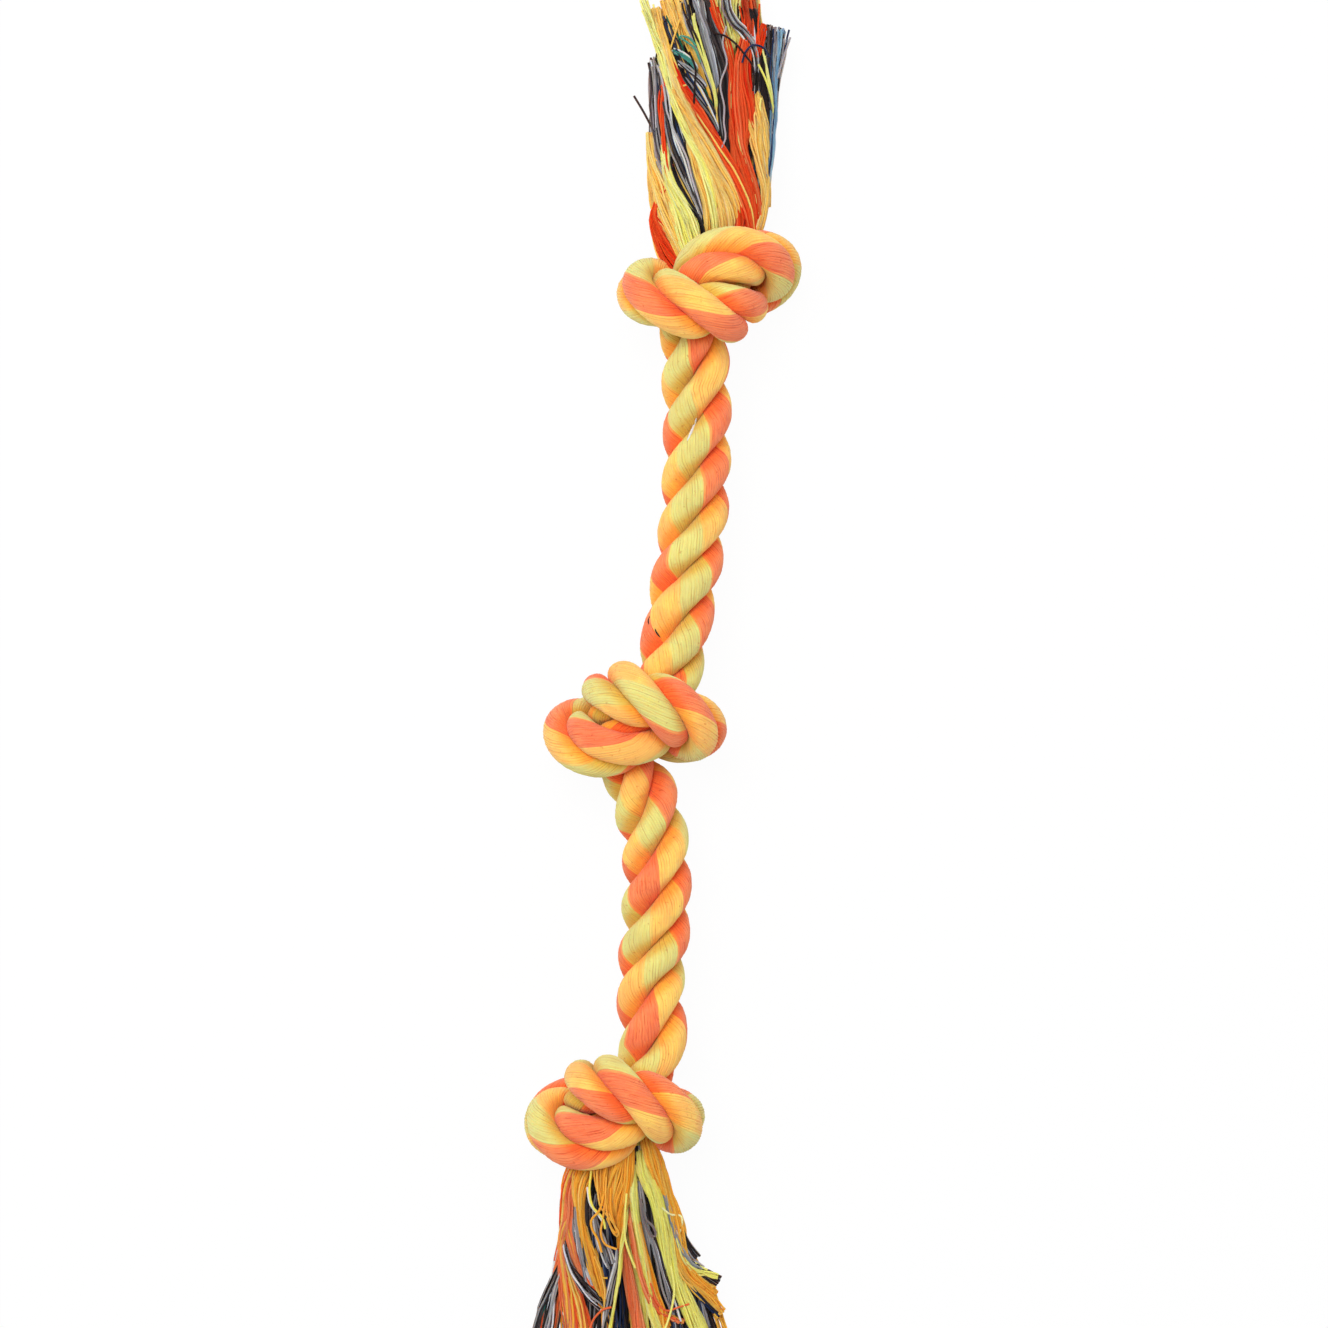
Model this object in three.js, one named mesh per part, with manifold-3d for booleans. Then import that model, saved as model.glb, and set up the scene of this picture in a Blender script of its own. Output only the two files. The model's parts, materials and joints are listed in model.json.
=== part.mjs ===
import * as THREE from "three";
import { mergeVertices } from "three/addons/utils/BufferGeometryUtils.js";
import Module from "manifold-3d";

// A rope toy for a dog, of three-strand cotton rope with three overhand knots and a frayed tassel at each end.
// It lies on a flat surface. Millimetres: +X to the right, +Y along the toy to the top tassel, +Z up.

const wasm = await Module();
wasm.setup();

// The laid rope, and the bundle of waste yarn inside each of its strands.
const ropeDiameter = 25;
const layLength = 51;
const strandGap = 0.45;
const coreDiameter = 5;
const coreGap = 0.3;
const strandNames = ["a", "b", "c"];
const strandStart = -Math.PI / 2;

// A knot is drawn tight, so its passes lie this far apart and the rope in them is squeezed thinner.
// The squeeze eases off over its own length outside the knot.
const passSpacing = 17.9;
const passClearance = 0.8;
const squeezeEase = 16;

// Where each knot lies, its roll about the rope and its turn on the surface in degrees,
// and how far to its right the rope leaves it.
const middleKnot = { x: -1, y: -2.5, roll: 52, tilt: -12, lead: 5 };
const topKnot = { x: 23, y: 155, roll: 120, tilt: -3, lead: -1 };
const bottomKnot = { x: -8, y: -142, roll: 52, tilt: -12, lead: 5 };

// The rope bends at ball-shaped cuts, one near each end of a free stretch and one at the root of each tassel.
const upperBends = { nearX: 14, nearY: 45, farX: 20, farY: 106 };
const lowerBends = { nearX: 4.5, nearY: -47, farX: 3, farY: -95 };
const upperBow = 1;
const lowerBow = 1.5;
const bendBallDiameter = 29;
const tasselFromKnot = 27;
const tasselBallDiameter = 21;
const tasselSwingRoom = 2;
const ballGap = 0.35;

// The tassels.
const tasselRootDiameter = 19.5;
const tasselThickness = 26;
const lockGap = 0.6;
const topTassel = { length: 84, width: 52, lean: 2 };
const bottomTassel = { length: 84, width: 64, lean: 4 };

// How finely round things are drawn.
const stepsPerTurn = 10;
const lobeSides = 5;
const coreSides = 4;
const lockSides = 5;
const lockSteps = 6;
const ballSegments = 20;
const lineSteps = 1200;

// One half of an overhand knot, from its middle to its tail, in shares of the spacing of its passes.
// The other half is this one turned half a turn about the first axis. The tail runs along the third axis.
const knotRouteShares = [
  [0.86, 0, 0],
  [0.81, 0.62, -0.03],
  [0.5, 1.2, -0.11],
  [-0.1, 1.47, -0.3],
  [-0.72, 1.26, -0.5],
  [-1.08, 0.72, -0.63],
  [-1.06, 0.08, -0.62],
  [-0.7, -0.4, -0.38],
  [-0.2, -0.5, 0.14],
  [-0.02, -0.36, 0.8],
  [0, -0.14, 1.5],
];

// A strand's section is a round lobe, in shares of the rope's radius, kept inside its third of the rope.
const lobeShare = 0.57;

// A tassel's locks, a core lock inside three cover locks for each strand, in shares of the tassel's half width.
const innerRingShare = 0.3;
const outerRingShare = 0.76;
const tipShare = 0.8;
const coverColours = ["yellow", "orange", "coral"];
const lockLengthShares = [1, 0.93, 0.97, 0.9, 0.98, 0.88, 0.95, 1, 0.91, 0.96, 0.89, 0.99];

const turn = 2 * Math.PI;
const ropeRadius = ropeDiameter / 2;
const bendBallRadius = bendBallDiameter / 2;
const tasselBallRadius = tasselBallDiameter / 2;
const tasselRootRadius = tasselRootDiameter / 2;
const knotRopeRadius = (passSpacing - passClearance) / 2;
const floorCut = ropeDiameter / 10;
const third = turn / strandNames.length;

function cotton(hex) {
  return new THREE.MeshStandardMaterial({ color: hex, roughness: 0.95, metalness: 0 });
}

const materials = {
  a: cotton(0xe9e07a),
  b: cotton(0xffa63f),
  c: cotton(0xf26b42),
  yellow: cotton(0xe6dc55),
  orange: cotton(0xffa030),
  coral: cotton(0xee5a30),
  core: cotton(0x2c2a2f),
};

// Solids from closed geometry, and back.
function solid(geometry) {
  geometry.deleteAttribute("normal");
  geometry.deleteAttribute("uv");
  const merged = mergeVertices(geometry);
  const mesh = new wasm.Mesh({
    numProp: 3,
    vertProperties: merged.attributes.position.array,
    triVerts: new Uint32Array(merged.index.array),
  });
  return new wasm.Manifold(mesh);
}

function namedMesh(name, made, material) {
  const { vertProperties, triVerts } = made.getMesh();
  const geometry = new THREE.BufferGeometry();
  geometry.setAttribute("position", new THREE.BufferAttribute(vertProperties, 3));
  geometry.setIndex(new THREE.BufferAttribute(triVerts, 1));
  const mesh = new THREE.Mesh(geometry, material);
  mesh.name = name;
  return mesh;
}

// A closed skin over rings of equally many points, with a fan at each end.
// The two halves of a ring are split into triangles like mirror images, so that twisted neighbours fit each other.
function loft(rings) {
  const sides = rings[0].length;
  const positions = rings.flat().flatMap((p) => [p.x, p.y, p.z]);
  for (const ring of [rings[0], rings[rings.length - 1]]) {
    const middle = ring.reduce((sum, p) => sum.add(p), new THREE.Vector3()).divideScalar(sides);
    positions.push(middle.x, middle.y, middle.z);
  }
  const firstHub = rings.length * sides;
  const lastRing = firstHub - sides;
  const index = [];
  for (let side = 0; side < sides; side++) {
    const next = (side + 1) % sides;
    for (let ring = 0; ring + 1 < rings.length; ring++) {
      const [here, hereNext] = [ring * sides + side, ring * sides + next];
      const [ahead, aheadNext] = [here + sides, hereNext + sides];
      if (2 * side < sides - 1) index.push(here, hereNext, aheadNext, here, aheadNext, ahead);
      else index.push(here, hereNext, ahead, ahead, hereNext, aheadNext);
    }
    index.push(firstHub, next, side);
    index.push(firstHub + 1, lastRing + side, lastRing + next);
  }
  const geometry = new THREE.BufferGeometry();
  geometry.setAttribute("position", new THREE.Float32BufferAttribute(positions, 3));
  geometry.setIndex(index);
  return geometry;
}

// A knot's points from its lower tail to its upper one, and the point that they lie round.
function placeKnot({ x, y, roll, tilt, lead }) {
  const rolled = new THREE.Matrix4().makeRotationY(THREE.MathUtils.degToRad(roll));
  const tilted = new THREE.Matrix4().makeRotationZ(THREE.MathUtils.degToRad(tilt));
  const upper = knotRouteShares.map((share) => new THREE.Vector3(...share).multiplyScalar(passSpacing));
  const lower = upper.slice(1).map((p) => new THREE.Vector3(p.x, -p.y, -p.z));
  const tailEnd = upper[upper.length - 1].z;
  const points = [...lower.reverse(), ...upper].map((p) => {
    const led = lead * THREE.MathUtils.smoothstep(Math.abs(p.z), tailEnd / 3, tailEnd);
    const placed = new THREE.Vector3(p.x, p.z, -p.y).applyMatrix4(rolled).applyMatrix4(tilted);
    return placed.add(new THREE.Vector3(led, 0, 0));
  });
  const drawn = new THREE.CatmullRomCurve3(points).getPoints(points.length * stepsPerTurn);
  const lowest = Math.min(...drawn.map((p) => p.z));
  const centre = new THREE.Vector3(x, y, knotRopeRadius - lowest - floorCut);
  return { centre, points: points.map((p) => p.add(centre)) };
}

// The rope's centreline, up from the bottom tassel to the top one.
const knots = {
  bottom: placeKnot(bottomKnot),
  middle: placeKnot(middleKnot),
  top: placeKnot(topKnot),
};

// The two bends of a free stretch and the middle between them, level with the knots at either end.
function stretchPoints(bendPlaces, bow, near, far) {
  const start = new THREE.Vector3(bendPlaces.nearX, bendPlaces.nearY, near.centre.z);
  const end = new THREE.Vector3(bendPlaces.farX, bendPlaces.farY, far.centre.z);
  const middle = start.clone().lerp(end, 1 / 2).add(new THREE.Vector3(bow, 0, 0));
  return [start, middle, end];
}

const upperStretch = stretchPoints(upperBends, upperBow, knots.middle, knots.top);
const lowerStretch = stretchPoints(lowerBends, lowerBow, knots.middle, knots.bottom).reverse();

// A tassel's root, and a point inside the tassel that the rope's line runs out to.
function tasselRoot(knot, { lead }, way) {
  return knot.centre.clone().add(new THREE.Vector3(lead, way * tasselFromKnot, 0));
}

const tasselRoots = {
  bottom: tasselRoot(knots.bottom, bottomKnot, -1),
  top: tasselRoot(knots.top, topKnot, 1),
};
const beyondRoot = new THREE.Vector3(0, tasselBallDiameter, 0);
const route = new THREE.CatmullRomCurve3(
  [
    tasselRoots.bottom.clone().sub(beyondRoot),
    tasselRoots.bottom,
    ...knots.bottom.points.slice(1),
    ...lowerStretch,
    ...knots.middle.points,
    ...upperStretch,
    ...knots.top.points.slice(0, -1),
    tasselRoots.top,
    tasselRoots.top.clone().add(beyondRoot),
  ],
  false,
  "centripetal",
);
route.arcLengthDivisions = lineSteps;
const routeLength = route.getLength();
const stepLength = routeLength / lineSteps;

// Frames along the centreline that don't twist about it.
const line = [];
for (let step = 0; step <= lineSteps; step++) {
  const share = step / lineSteps;
  const along = route.getTangentAt(share);
  const before = step ? line[step - 1].across : new THREE.Vector3(1, 0, 0);
  const across = before.clone().addScaledVector(along, -before.dot(along)).normalize();
  line.push({ at: route.getPointAt(share), along, across, up: new THREE.Vector3().crossVectors(along, across) });
}

// The place on the line, as a length from its start, nearest to a point.
function lengthAt(point) {
  let best = 0;
  for (let step = 1; step <= lineSteps; step++) {
    if (line[step].at.distanceTo(point) < line[best].at.distanceTo(point)) best = step;
  }
  return best * stepLength;
}

function frameAt(length) {
  return line[THREE.MathUtils.clamp(Math.round(length / stepLength), 0, lineSteps)];
}

// Where the rope is squeezed: in each knot, and on from an outer knot to its tassel.
const knotSpans = Object.values(knots).map(({ points }) => [points[1], points[points.length - 2]].map(lengthAt));
knotSpans[0][0] = 0;
knotSpans[knotSpans.length - 1][1] = routeLength;

// The rope's radius, from its full size in the free stretches to its squeezed size in a knot.
function ropeRadiusAt(length) {
  const outside = Math.min(...knotSpans.map(([first, last]) => Math.max(first - length, length - last)));
  return THREE.MathUtils.lerp(knotRopeRadius, ropeRadius, THREE.MathUtils.smoothstep(outside, 0, squeezeEase));
}

// The section of a strand whose lobe points along the first axis: the rope's middle, then points round the lobe.
// All of it is set outward, so that its straight sides keep the gap to its neighbours.
function strandSection(radius) {
  const outset = strandGap / 2 / Math.sin(third / 2);
  const lobeRadius = lobeShare * (radius - outset);
  const lobeCentre = radius - outset - lobeRadius;
  const section = [new THREE.Vector2(outset, 0)];
  for (let side = 0; side < lobeSides; side++) {
    const angle = THREE.MathUtils.lerp(-third / 2, third / 2, side / (lobeSides - 1));
    const across = lobeCentre * Math.sin(angle);
    const reach = lobeCentre * Math.cos(angle) + Math.sqrt(lobeRadius ** 2 - across ** 2);
    section.push(new THREE.Vector2(outset + reach * Math.cos(angle), reach * Math.sin(angle)));
  }
  return section;
}

// The section of the yarns inside a strand, in the middle of its lobe.
function coreSection(radius, coreRadius) {
  const section = [];
  for (let side = 0; side < coreSides; side++) {
    const angle = (turn * side) / coreSides;
    section.push(new THREE.Vector2(Math.cos(angle), Math.sin(angle)).multiplyScalar(coreRadius));
    section[side].x += (1 - lobeShare) * radius;
  }
  return section;
}

// One strand, or what is inside it, between two lengths along the rope, with rings at even steps of the lay.
function laidTube(strand, from, to, sectionOf) {
  const spacing = layLength / stepsPerTurn;
  const rings = [];
  for (let step = Math.floor(from / spacing); step <= Math.ceil(to / spacing); step++) {
    const { at, across, up } = frameAt(step * spacing);
    const laid = strandStart + (turn * step) / stepsPerTurn + strand * third;
    const outward = across.clone().multiplyScalar(Math.cos(laid)).addScaledVector(up, Math.sin(laid));
    const sideways = up.clone().multiplyScalar(Math.cos(laid)).addScaledVector(across, -Math.sin(laid));
    const section = sectionOf(ropeRadiusAt(step * spacing));
    rings.push(section.map((p) => at.clone().addScaledVector(outward, p.x).addScaledVector(sideways, p.y)));
  }
  return solid(loft(rings));
}

function ball(centre, radius) {
  const sphere = new THREE.SphereGeometry(radius, ballSegments, ballSegments / 2);
  return solid(sphere.translate(centre.x, centre.y, centre.z));
}

// A wide drum along a line, which holds everything between its two ends.
function drum(from, to, radius) {
  const along = to.clone().sub(from);
  const cylinder = new THREE.CylinderGeometry(radius, radius, along.length(), ballSegments);
  const turned = new THREE.Quaternion().setFromUnitVectors(new THREE.Vector3(0, 1, 0), along.clone().normalize());
  const middle = from.clone().addScaledVector(along, 1 / 2);
  return solid(cylinder.applyQuaternion(turned).translate(middle.x, middle.y, middle.z));
}

// The bends, from the bottom of the toy to its top. A tassel's has room beside it, where the tassel swings.
const bends = {
  bottomTassel: { centre: tasselRoots.bottom, radius: tasselBallRadius, room: tasselSwingRoom },
  lowerFar: { centre: lowerStretch[0], radius: bendBallRadius, room: 0 },
  lowerNear: { centre: lowerStretch[2], radius: bendBallRadius, room: 0 },
  upperNear: { centre: upperStretch[0], radius: bendBallRadius, room: 0 },
  upperFar: { centre: upperStretch[2], radius: bendBallRadius, room: 0 },
  topTassel: { centre: tasselRoots.top, radius: tasselBallRadius, room: tasselSwingRoom },
};

const toy = new THREE.Group();

// The knots are flat underneath, where they press on the surface that the toy lies on.
const underneath = solid(
  new THREE.BoxGeometry(routeLength, routeLength, ropeDiameter).translate(0, 0, -ropeDiameter / 2),
);

// The three strands of a knot, hollowed at its bends and ended past them.
function addKnot(name, { centre }, lowBend, highBend) {
  const from = lengthAt(lowBend.centre);
  const to = lengthAt(highBend.centre);
  const cutters = [lowBend, highBend].flatMap((bend) => {
    const outward = bend.centre.clone().sub(centre);
    const mouth = bend.centre.clone().add(outward.clone().setLength(bend.room));
    return [ball(mouth, bend.radius + bend.room), drum(bend.centre, bend.centre.clone().add(outward), ropeDiameter)];
  });
  strandNames.forEach((letter, strand) => {
    let made = laidTube(strand, from, to, strandSection);
    for (const cutter of cutters) made = made.subtract(cutter);
    toy.add(namedMesh(`${name}_strand_${letter}`, made.subtract(underneath), materials[letter]));
  });
}

// The three strands of a free stretch, each round the yarns inside it, rounded at its two bends.
function addStretch(name, lowBend, highBend) {
  const overrun = bendBallRadius;
  const from = lengthAt(lowBend.centre) - overrun;
  const to = lengthAt(highBend.centre) + overrun;
  const balls = [lowBend, highBend].map((bend) => ball(bend.centre, bend.radius - ballGap));
  const held = drum(lowBend.centre, highBend.centre, ropeDiameter).add(balls[0]).add(balls[1]);
  strandNames.forEach((letter, strand) => {
    const cover = laidTube(strand, from, to, strandSection);
    const coreRadius = coreDiameter / 2;
    const bore = laidTube(strand, from - overrun, to + overrun, (radius) => coreSection(radius, coreRadius + coreGap));
    const core = laidTube(strand, from, to, (radius) => coreSection(radius, coreRadius));
    toy.add(namedMesh(`${name}_strand_${letter}`, cover.intersect(held).subtract(bore), materials[letter]));
    toy.add(namedMesh(`${name}_core_${letter}`, core.intersect(held), materials.core));
  });
}

addKnot("bottom_knot", knots.bottom, bends.bottomTassel, bends.lowerFar);
addStretch("lower_rope", bends.lowerFar, bends.lowerNear);
addKnot("middle_knot", knots.middle, bends.lowerNear, bends.upperNear);
addStretch("upper_rope", bends.upperNear, bends.upperFar);
addKnot("top_knot", knots.top, bends.upperFar, bends.topTassel);

// A tassel's bundle at a distance from its root: its centre, its half width and its half thickness.
function bundleAt(tassel, root, way, distance) {
  const share = THREE.MathUtils.clamp(distance / tassel.length, 0, 1);
  const fanned = Math.sin((share * turn) / 4);
  const drooped = THREE.MathUtils.smoothstep(share, 0, 1);
  const lying = tasselThickness / 2 + ballGap;
  return {
    x: root.x + tassel.lean * drooped,
    y: root.y + way * distance,
    z: THREE.MathUtils.lerp(root.z, lying, drooped),
    halfWidth: THREE.MathUtils.lerp(tasselRootRadius, tassel.width / 2, fanned),
    halfThickness: THREE.MathUtils.lerp(tasselRootRadius, tasselThickness / 2, fanned),
    thinning: THREE.MathUtils.lerp(1, tipShare, share),
  };
}

// One lock of yarns, held at its place in the bundle from inside the root to its tip.
function lockTube(tassel, root, way, ringShare, angle, length) {
  const coverCount = coverColours.length * strandNames.length;
  const rootRadius = outerRingShare * tasselRootRadius * Math.sin(turn / coverCount / 2) - lockGap / 2;
  const rings = [];
  for (let step = 0; step <= lockSteps; step++) {
    const distance = THREE.MathUtils.lerp(-tasselBallRadius, length, step / lockSteps);
    const bundle = bundleAt(tassel, root, way, distance);
    const lockShare = (rootRadius / tasselRootRadius) * bundle.thinning;
    const ring = [];
    for (let side = 0; side < lockSides; side++) {
      const around = (-way * turn * side) / lockSides;
      const across = ringShare * Math.cos(angle) + lockShare * Math.cos(around);
      const up = ringShare * Math.sin(angle) + lockShare * Math.sin(around);
      const x = bundle.x + across * bundle.halfWidth;
      ring.push(new THREE.Vector3(x, bundle.y, bundle.z + up * bundle.halfThickness));
    }
    rings.push(ring);
  }
  return solid(loft(rings));
}

function addTassel(name, tassel, root, way) {
  const far = root.clone().add(new THREE.Vector3(0, way * 2 * tassel.length, 0));
  const held = ball(root, tasselBallRadius - ballGap).add(drum(root, far, tassel.width));
  let lock = 0;
  strandNames.forEach((letter, strand) => {
    const strandAngle = turn / 4 + third * strand;
    const places = coverColours.map((colour, number) => {
      const coverAngle = strandAngle + (third * (number - 1)) / coverColours.length;
      return [colour, outerRingShare, coverAngle];
    });
    places.push(["core", innerRingShare, strandAngle]);
    for (const [colour, ringShare, angle] of places) {
      const length = tassel.length * lockLengthShares[lock++];
      const made = lockTube(tassel, root, way, ringShare, angle, length).intersect(held);
      toy.add(namedMesh(`${name}_${letter}_${colour}_yarns`, made, materials[colour]));
    }
  });
}

addTassel("bottom_tassel", bottomTassel, tasselRoots.bottom, -1);
addTassel("top_tassel", topTassel, tasselRoots.top, 1);

// The origin is under the middle of the toy, on the surface that it lies on.
const box = new THREE.Box3().setFromObject(toy);
const middle = box.getCenter(new THREE.Vector3());
toy.position.set(-middle.x, -middle.y, 0);

// Where the rope bends and where the knots rest, in the toy's own frame.
toy.userData.bends = Object.fromEntries(
  Object.entries(bends).map(([name, bend]) => [name, bend.centre.clone().add(toy.position).toArray()]),
);
toy.userData.knots = Object.fromEntries(
  Object.entries(knots).map(([name, knot]) => [name, knot.centre.clone().add(toy.position).toArray()]),
);

export default toy;
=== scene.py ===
import json
import math

import bmesh
import bpy
import numpy as np
from bpy.props import FloatProperty, FloatVectorProperty, IntProperty, PointerProperty
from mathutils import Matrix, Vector
from mathutils.bvhtree import BVHTree

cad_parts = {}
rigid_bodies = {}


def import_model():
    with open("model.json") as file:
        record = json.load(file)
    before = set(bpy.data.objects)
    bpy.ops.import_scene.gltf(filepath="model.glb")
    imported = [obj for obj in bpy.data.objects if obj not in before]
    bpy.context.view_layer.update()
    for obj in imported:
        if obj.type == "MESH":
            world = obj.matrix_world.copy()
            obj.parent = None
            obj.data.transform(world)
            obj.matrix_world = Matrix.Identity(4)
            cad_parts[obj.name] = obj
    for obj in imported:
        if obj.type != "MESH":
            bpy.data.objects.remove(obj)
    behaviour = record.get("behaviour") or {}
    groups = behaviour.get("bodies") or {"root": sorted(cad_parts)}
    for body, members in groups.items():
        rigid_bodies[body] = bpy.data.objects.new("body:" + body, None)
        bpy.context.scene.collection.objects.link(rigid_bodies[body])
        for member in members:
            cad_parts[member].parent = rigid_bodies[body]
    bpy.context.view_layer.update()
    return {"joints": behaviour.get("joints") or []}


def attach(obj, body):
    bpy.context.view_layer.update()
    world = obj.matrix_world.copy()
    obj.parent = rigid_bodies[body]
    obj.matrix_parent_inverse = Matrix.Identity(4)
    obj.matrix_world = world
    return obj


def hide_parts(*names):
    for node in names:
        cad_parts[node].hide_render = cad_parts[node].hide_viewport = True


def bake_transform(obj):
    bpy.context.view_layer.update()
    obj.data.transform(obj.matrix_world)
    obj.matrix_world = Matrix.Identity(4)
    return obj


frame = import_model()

bl_info = {
    "name": "Rope dog toy",
    "version": (1, 0, 0),
    "blender": (4, 5, 0),
    "location": "View3D > Sidebar > Rope toy",
    "description": "Dresses a knotted rope toy: laid strands of soft yarn, drawn knots and frayed tassels",
    "category": "Object",
}

MM = 0.001
STRANDS = "abc"
THIRD = 2 * math.pi / 3
RNG_SEED = 1711

# The least height of the visible model above the floor, in millimetres.
LOWEST = 0.02

# One half of an overhand knot, from its middle to its tail, in shares of the spacing of its passes.
# The other half is this one turned half a turn about the first axis. The tail runs along the third axis.
KNOT_ROUTE_SHARES = np.array(
    [
        (0.86, 0, 0),
        (0.81, 0.62, -0.03),
        (0.5, 1.2, -0.11),
        (-0.1, 1.47, -0.3),
        (-0.72, 1.26, -0.5),
        (-1.08, 0.72, -0.63),
        (-1.06, 0.08, -0.62),
        (-0.7, -0.4, -0.38),
        (-0.2, -0.5, 0.14),
        (-0.02, -0.36, 0.8),
        (0, -0.14, 1.5),
    ]
)

# How each knot is rolled about the rope and turned on the surface, in degrees, and how far aside the rope leaves it.
KNOT_TURNS = {"bottom": (52, -12, 5), "middle": (52, -12, 5), "top": (120, -3, -1)}

JOINTS = {joint["name"]: Vector(joint["pos_m"]) / MM for joint in frame["joints"]}
BENDS = {
    "bottom_tassel": JOINTS["bottom_tassel_sway"],
    "lower_far": JOINTS["bottom_knot_lift"],
    "lower_near": JOINTS["lower_rope_sway"],
    "upper_near": JOINTS["upper_rope_sway"],
    "upper_far": JOINTS["top_knot_lift"],
    "top_tassel": JOINTS["top_tassel_sway"],
}

# From the middle of an outer knot to the root of its tassel.
TASSEL_FROM_KNOT = 27

# From half way between the bends beside the middle knot to its centre, aside and along.
MIDDLE_KNOT_SHIFT = (-10.25, -1.5)

# How far the rope is followed past the root of each tassel, and how far its two free stretches bow aside.
PAST_ROOT = 21
BOWS = {"lower": 1.5, "upper": 1}

# How much thinner the rope is at its ends, and from where to where it swells, past the root and before it.
END_SHARE = 0.72
END_EASE = (-4, 18)

# The step of the rope's line, and how many neighbours a bend or a turn is smoothed over.
LINE_STEP = 0.5
EASED_OVER = 31


def colour_prop(name, description, default):
    looks = {"name": name, "description": description, "default": default}
    return FloatVectorProperty(**looks, subtype="COLOR", size=3, min=0, max=1)


def length_prop(name, description, default):
    return FloatProperty(name=name, description=description, default=default, min=0, unit="LENGTH", precision=4)


class RopeSizes(bpy.types.PropertyGroup):
    """Sizes of the laid rope and of the yarns that its strands are spun from."""

    rope_diameter: length_prop("Rope diameter", "Across the three laid strands in a free stretch", 0.025)
    knot_rope_diameter: length_prop("Diameter in a knot", "Across the rope where a knot squeezes it", 0.0224)
    pass_spacing: length_prop("Pass spacing", "Between neighbouring passes of the rope in a knot", 0.0162)
    squeeze_ease: length_prop("Squeeze ease", "Outside a knot, over which the rope swells to its full size", 0.016)
    strand_gap: length_prop("Strand gap", "Between two strands that press on each other", 0.0002)
    groove_depth: length_prop("Groove depth", "Of the grooves between neighbouring yarns on a strand", 0.00017)
    ring_step: length_prop("Ring step", "Between the rings of a strand's mesh", 0.0014)
    yarns: IntProperty(name="Yarns", description="Yarns that show round one strand", default=38, min=6, max=80)
    tassel_yarn_diameter: length_prop("Tassel yarn", "Across one yarn of the frayed tassels", 0.00075)
    tassel_fullness: FloatProperty(
        name="Tassel fullness", description="Share of the yarns of each lock", default=1.2, min=0.1, max=3
    )


class YarnColours(bpy.types.PropertyGroup):
    """Colours of the dyed yarns, and a deep red coral that is painted shade."""

    yellow: colour_prop("Yellow", "Lemon yellow yarn of the strands", (0.735, 0.665, 0.218))
    orange: colour_prop("Orange", "Light orange yarn of the strands", (0.99, 0.53, 0.13))
    coral: colour_prop("Coral", "Coral yarn of the strands", (0.93, 0.225, 0.09))
    loose_yellow: colour_prop("Loose yellow", "Yellow yarn where it is frayed", (0.96, 0.84, 0.25))
    loose_orange: colour_prop("Loose orange", "Orange yarn where it is frayed", (1.0, 0.55, 0.14))
    loose_coral: colour_prop("Loose coral", "Coral yarn where it is frayed", (0.88, 0.15, 0.05))
    charcoal: colour_prop("Charcoal", "Darkest waste yarn of the tassels", (0.022, 0.017, 0.018))
    navy: colour_prop("Navy", "Blue waste yarn of the tassels", (0.02, 0.035, 0.09))
    grey: colour_prop("Grey", "Grey waste yarn of the tassels", (0.28, 0.26, 0.27))
    white: colour_prop("White", "Undyed waste yarn of the tassels", (0.78, 0.74, 0.70))
    teal: colour_prop("Teal", "Blue green waste yarn of the tassels", (0.04, 0.22, 0.17))
    blue: colour_prop("Blue", "Faded blue waste yarn of the tassels", (0.15, 0.28, 0.40))
    # Painted shade: a deep red for coral yarns that lie in shade inside the tassels.
    rust: colour_prop("Rust", "Deep red yarn inside the tassels", (0.42, 0.035, 0.012))


class StageSettings(bpy.types.PropertyGroup):
    """The camera, the floor and the light."""

    camera_height: length_prop("Camera height", "Above the surface that the toy lies on", 1.221)
    lens: FloatProperty(name="Lens", description="Focal length on a 36 mm sensor", default=90, min=20, max=300)
    world_strength: FloatProperty(name="World strength", description="Of the light from all round", default=0.56, min=0)
    lamp_strength: FloatProperty(name="Lamp strength", description="Of the soft lamp", default=1.0, min=0, unit="POWER")


# Numbers that repeat along a line.


def smoothstep(value, low, high):
    share = np.clip((np.asarray(value, float) - low) / (high - low), 0, 1)
    return share * share * (3 - 2 * share)


def eased(values, count):
    """Values smoothed over a count of neighbours."""
    held = np.pad(values, count, "edge")
    return np.convolve(held, np.ones(count) / count, "same")[count:-count]


def wander(places, spacing, rng):
    """A smooth random value from -1 to 1 for each place, which changes over the spacing."""
    marks = rng.uniform(-1, 1, int(np.max(places) / spacing) + 3)
    place = np.asarray(places) / spacing
    low = np.floor(place).astype(int)
    share = smoothstep(place - low, 0, 1)
    return marks[low] * (1 - share) + marks[low + 1] * share


def normalized(vectors):
    return vectors / np.linalg.norm(vectors, axis=-1, keepdims=True)


def ways_round(across, up, angle):
    """Directions at some angles about each place of a line, from its two directions across."""
    return across[..., None, :] * np.cos(angle)[..., None] + up[..., None, :] * np.sin(angle)[..., None]


def round_tubes(middles, across, up, radius, sides):
    """Rings of points about the places of a line or of many lines."""
    return middles[..., None, :] + ways_round(across, up, 2 * math.pi * np.arange(sides) / sides) * radius


# The rope's centreline, as in the CAD source, in millimetres.


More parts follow.
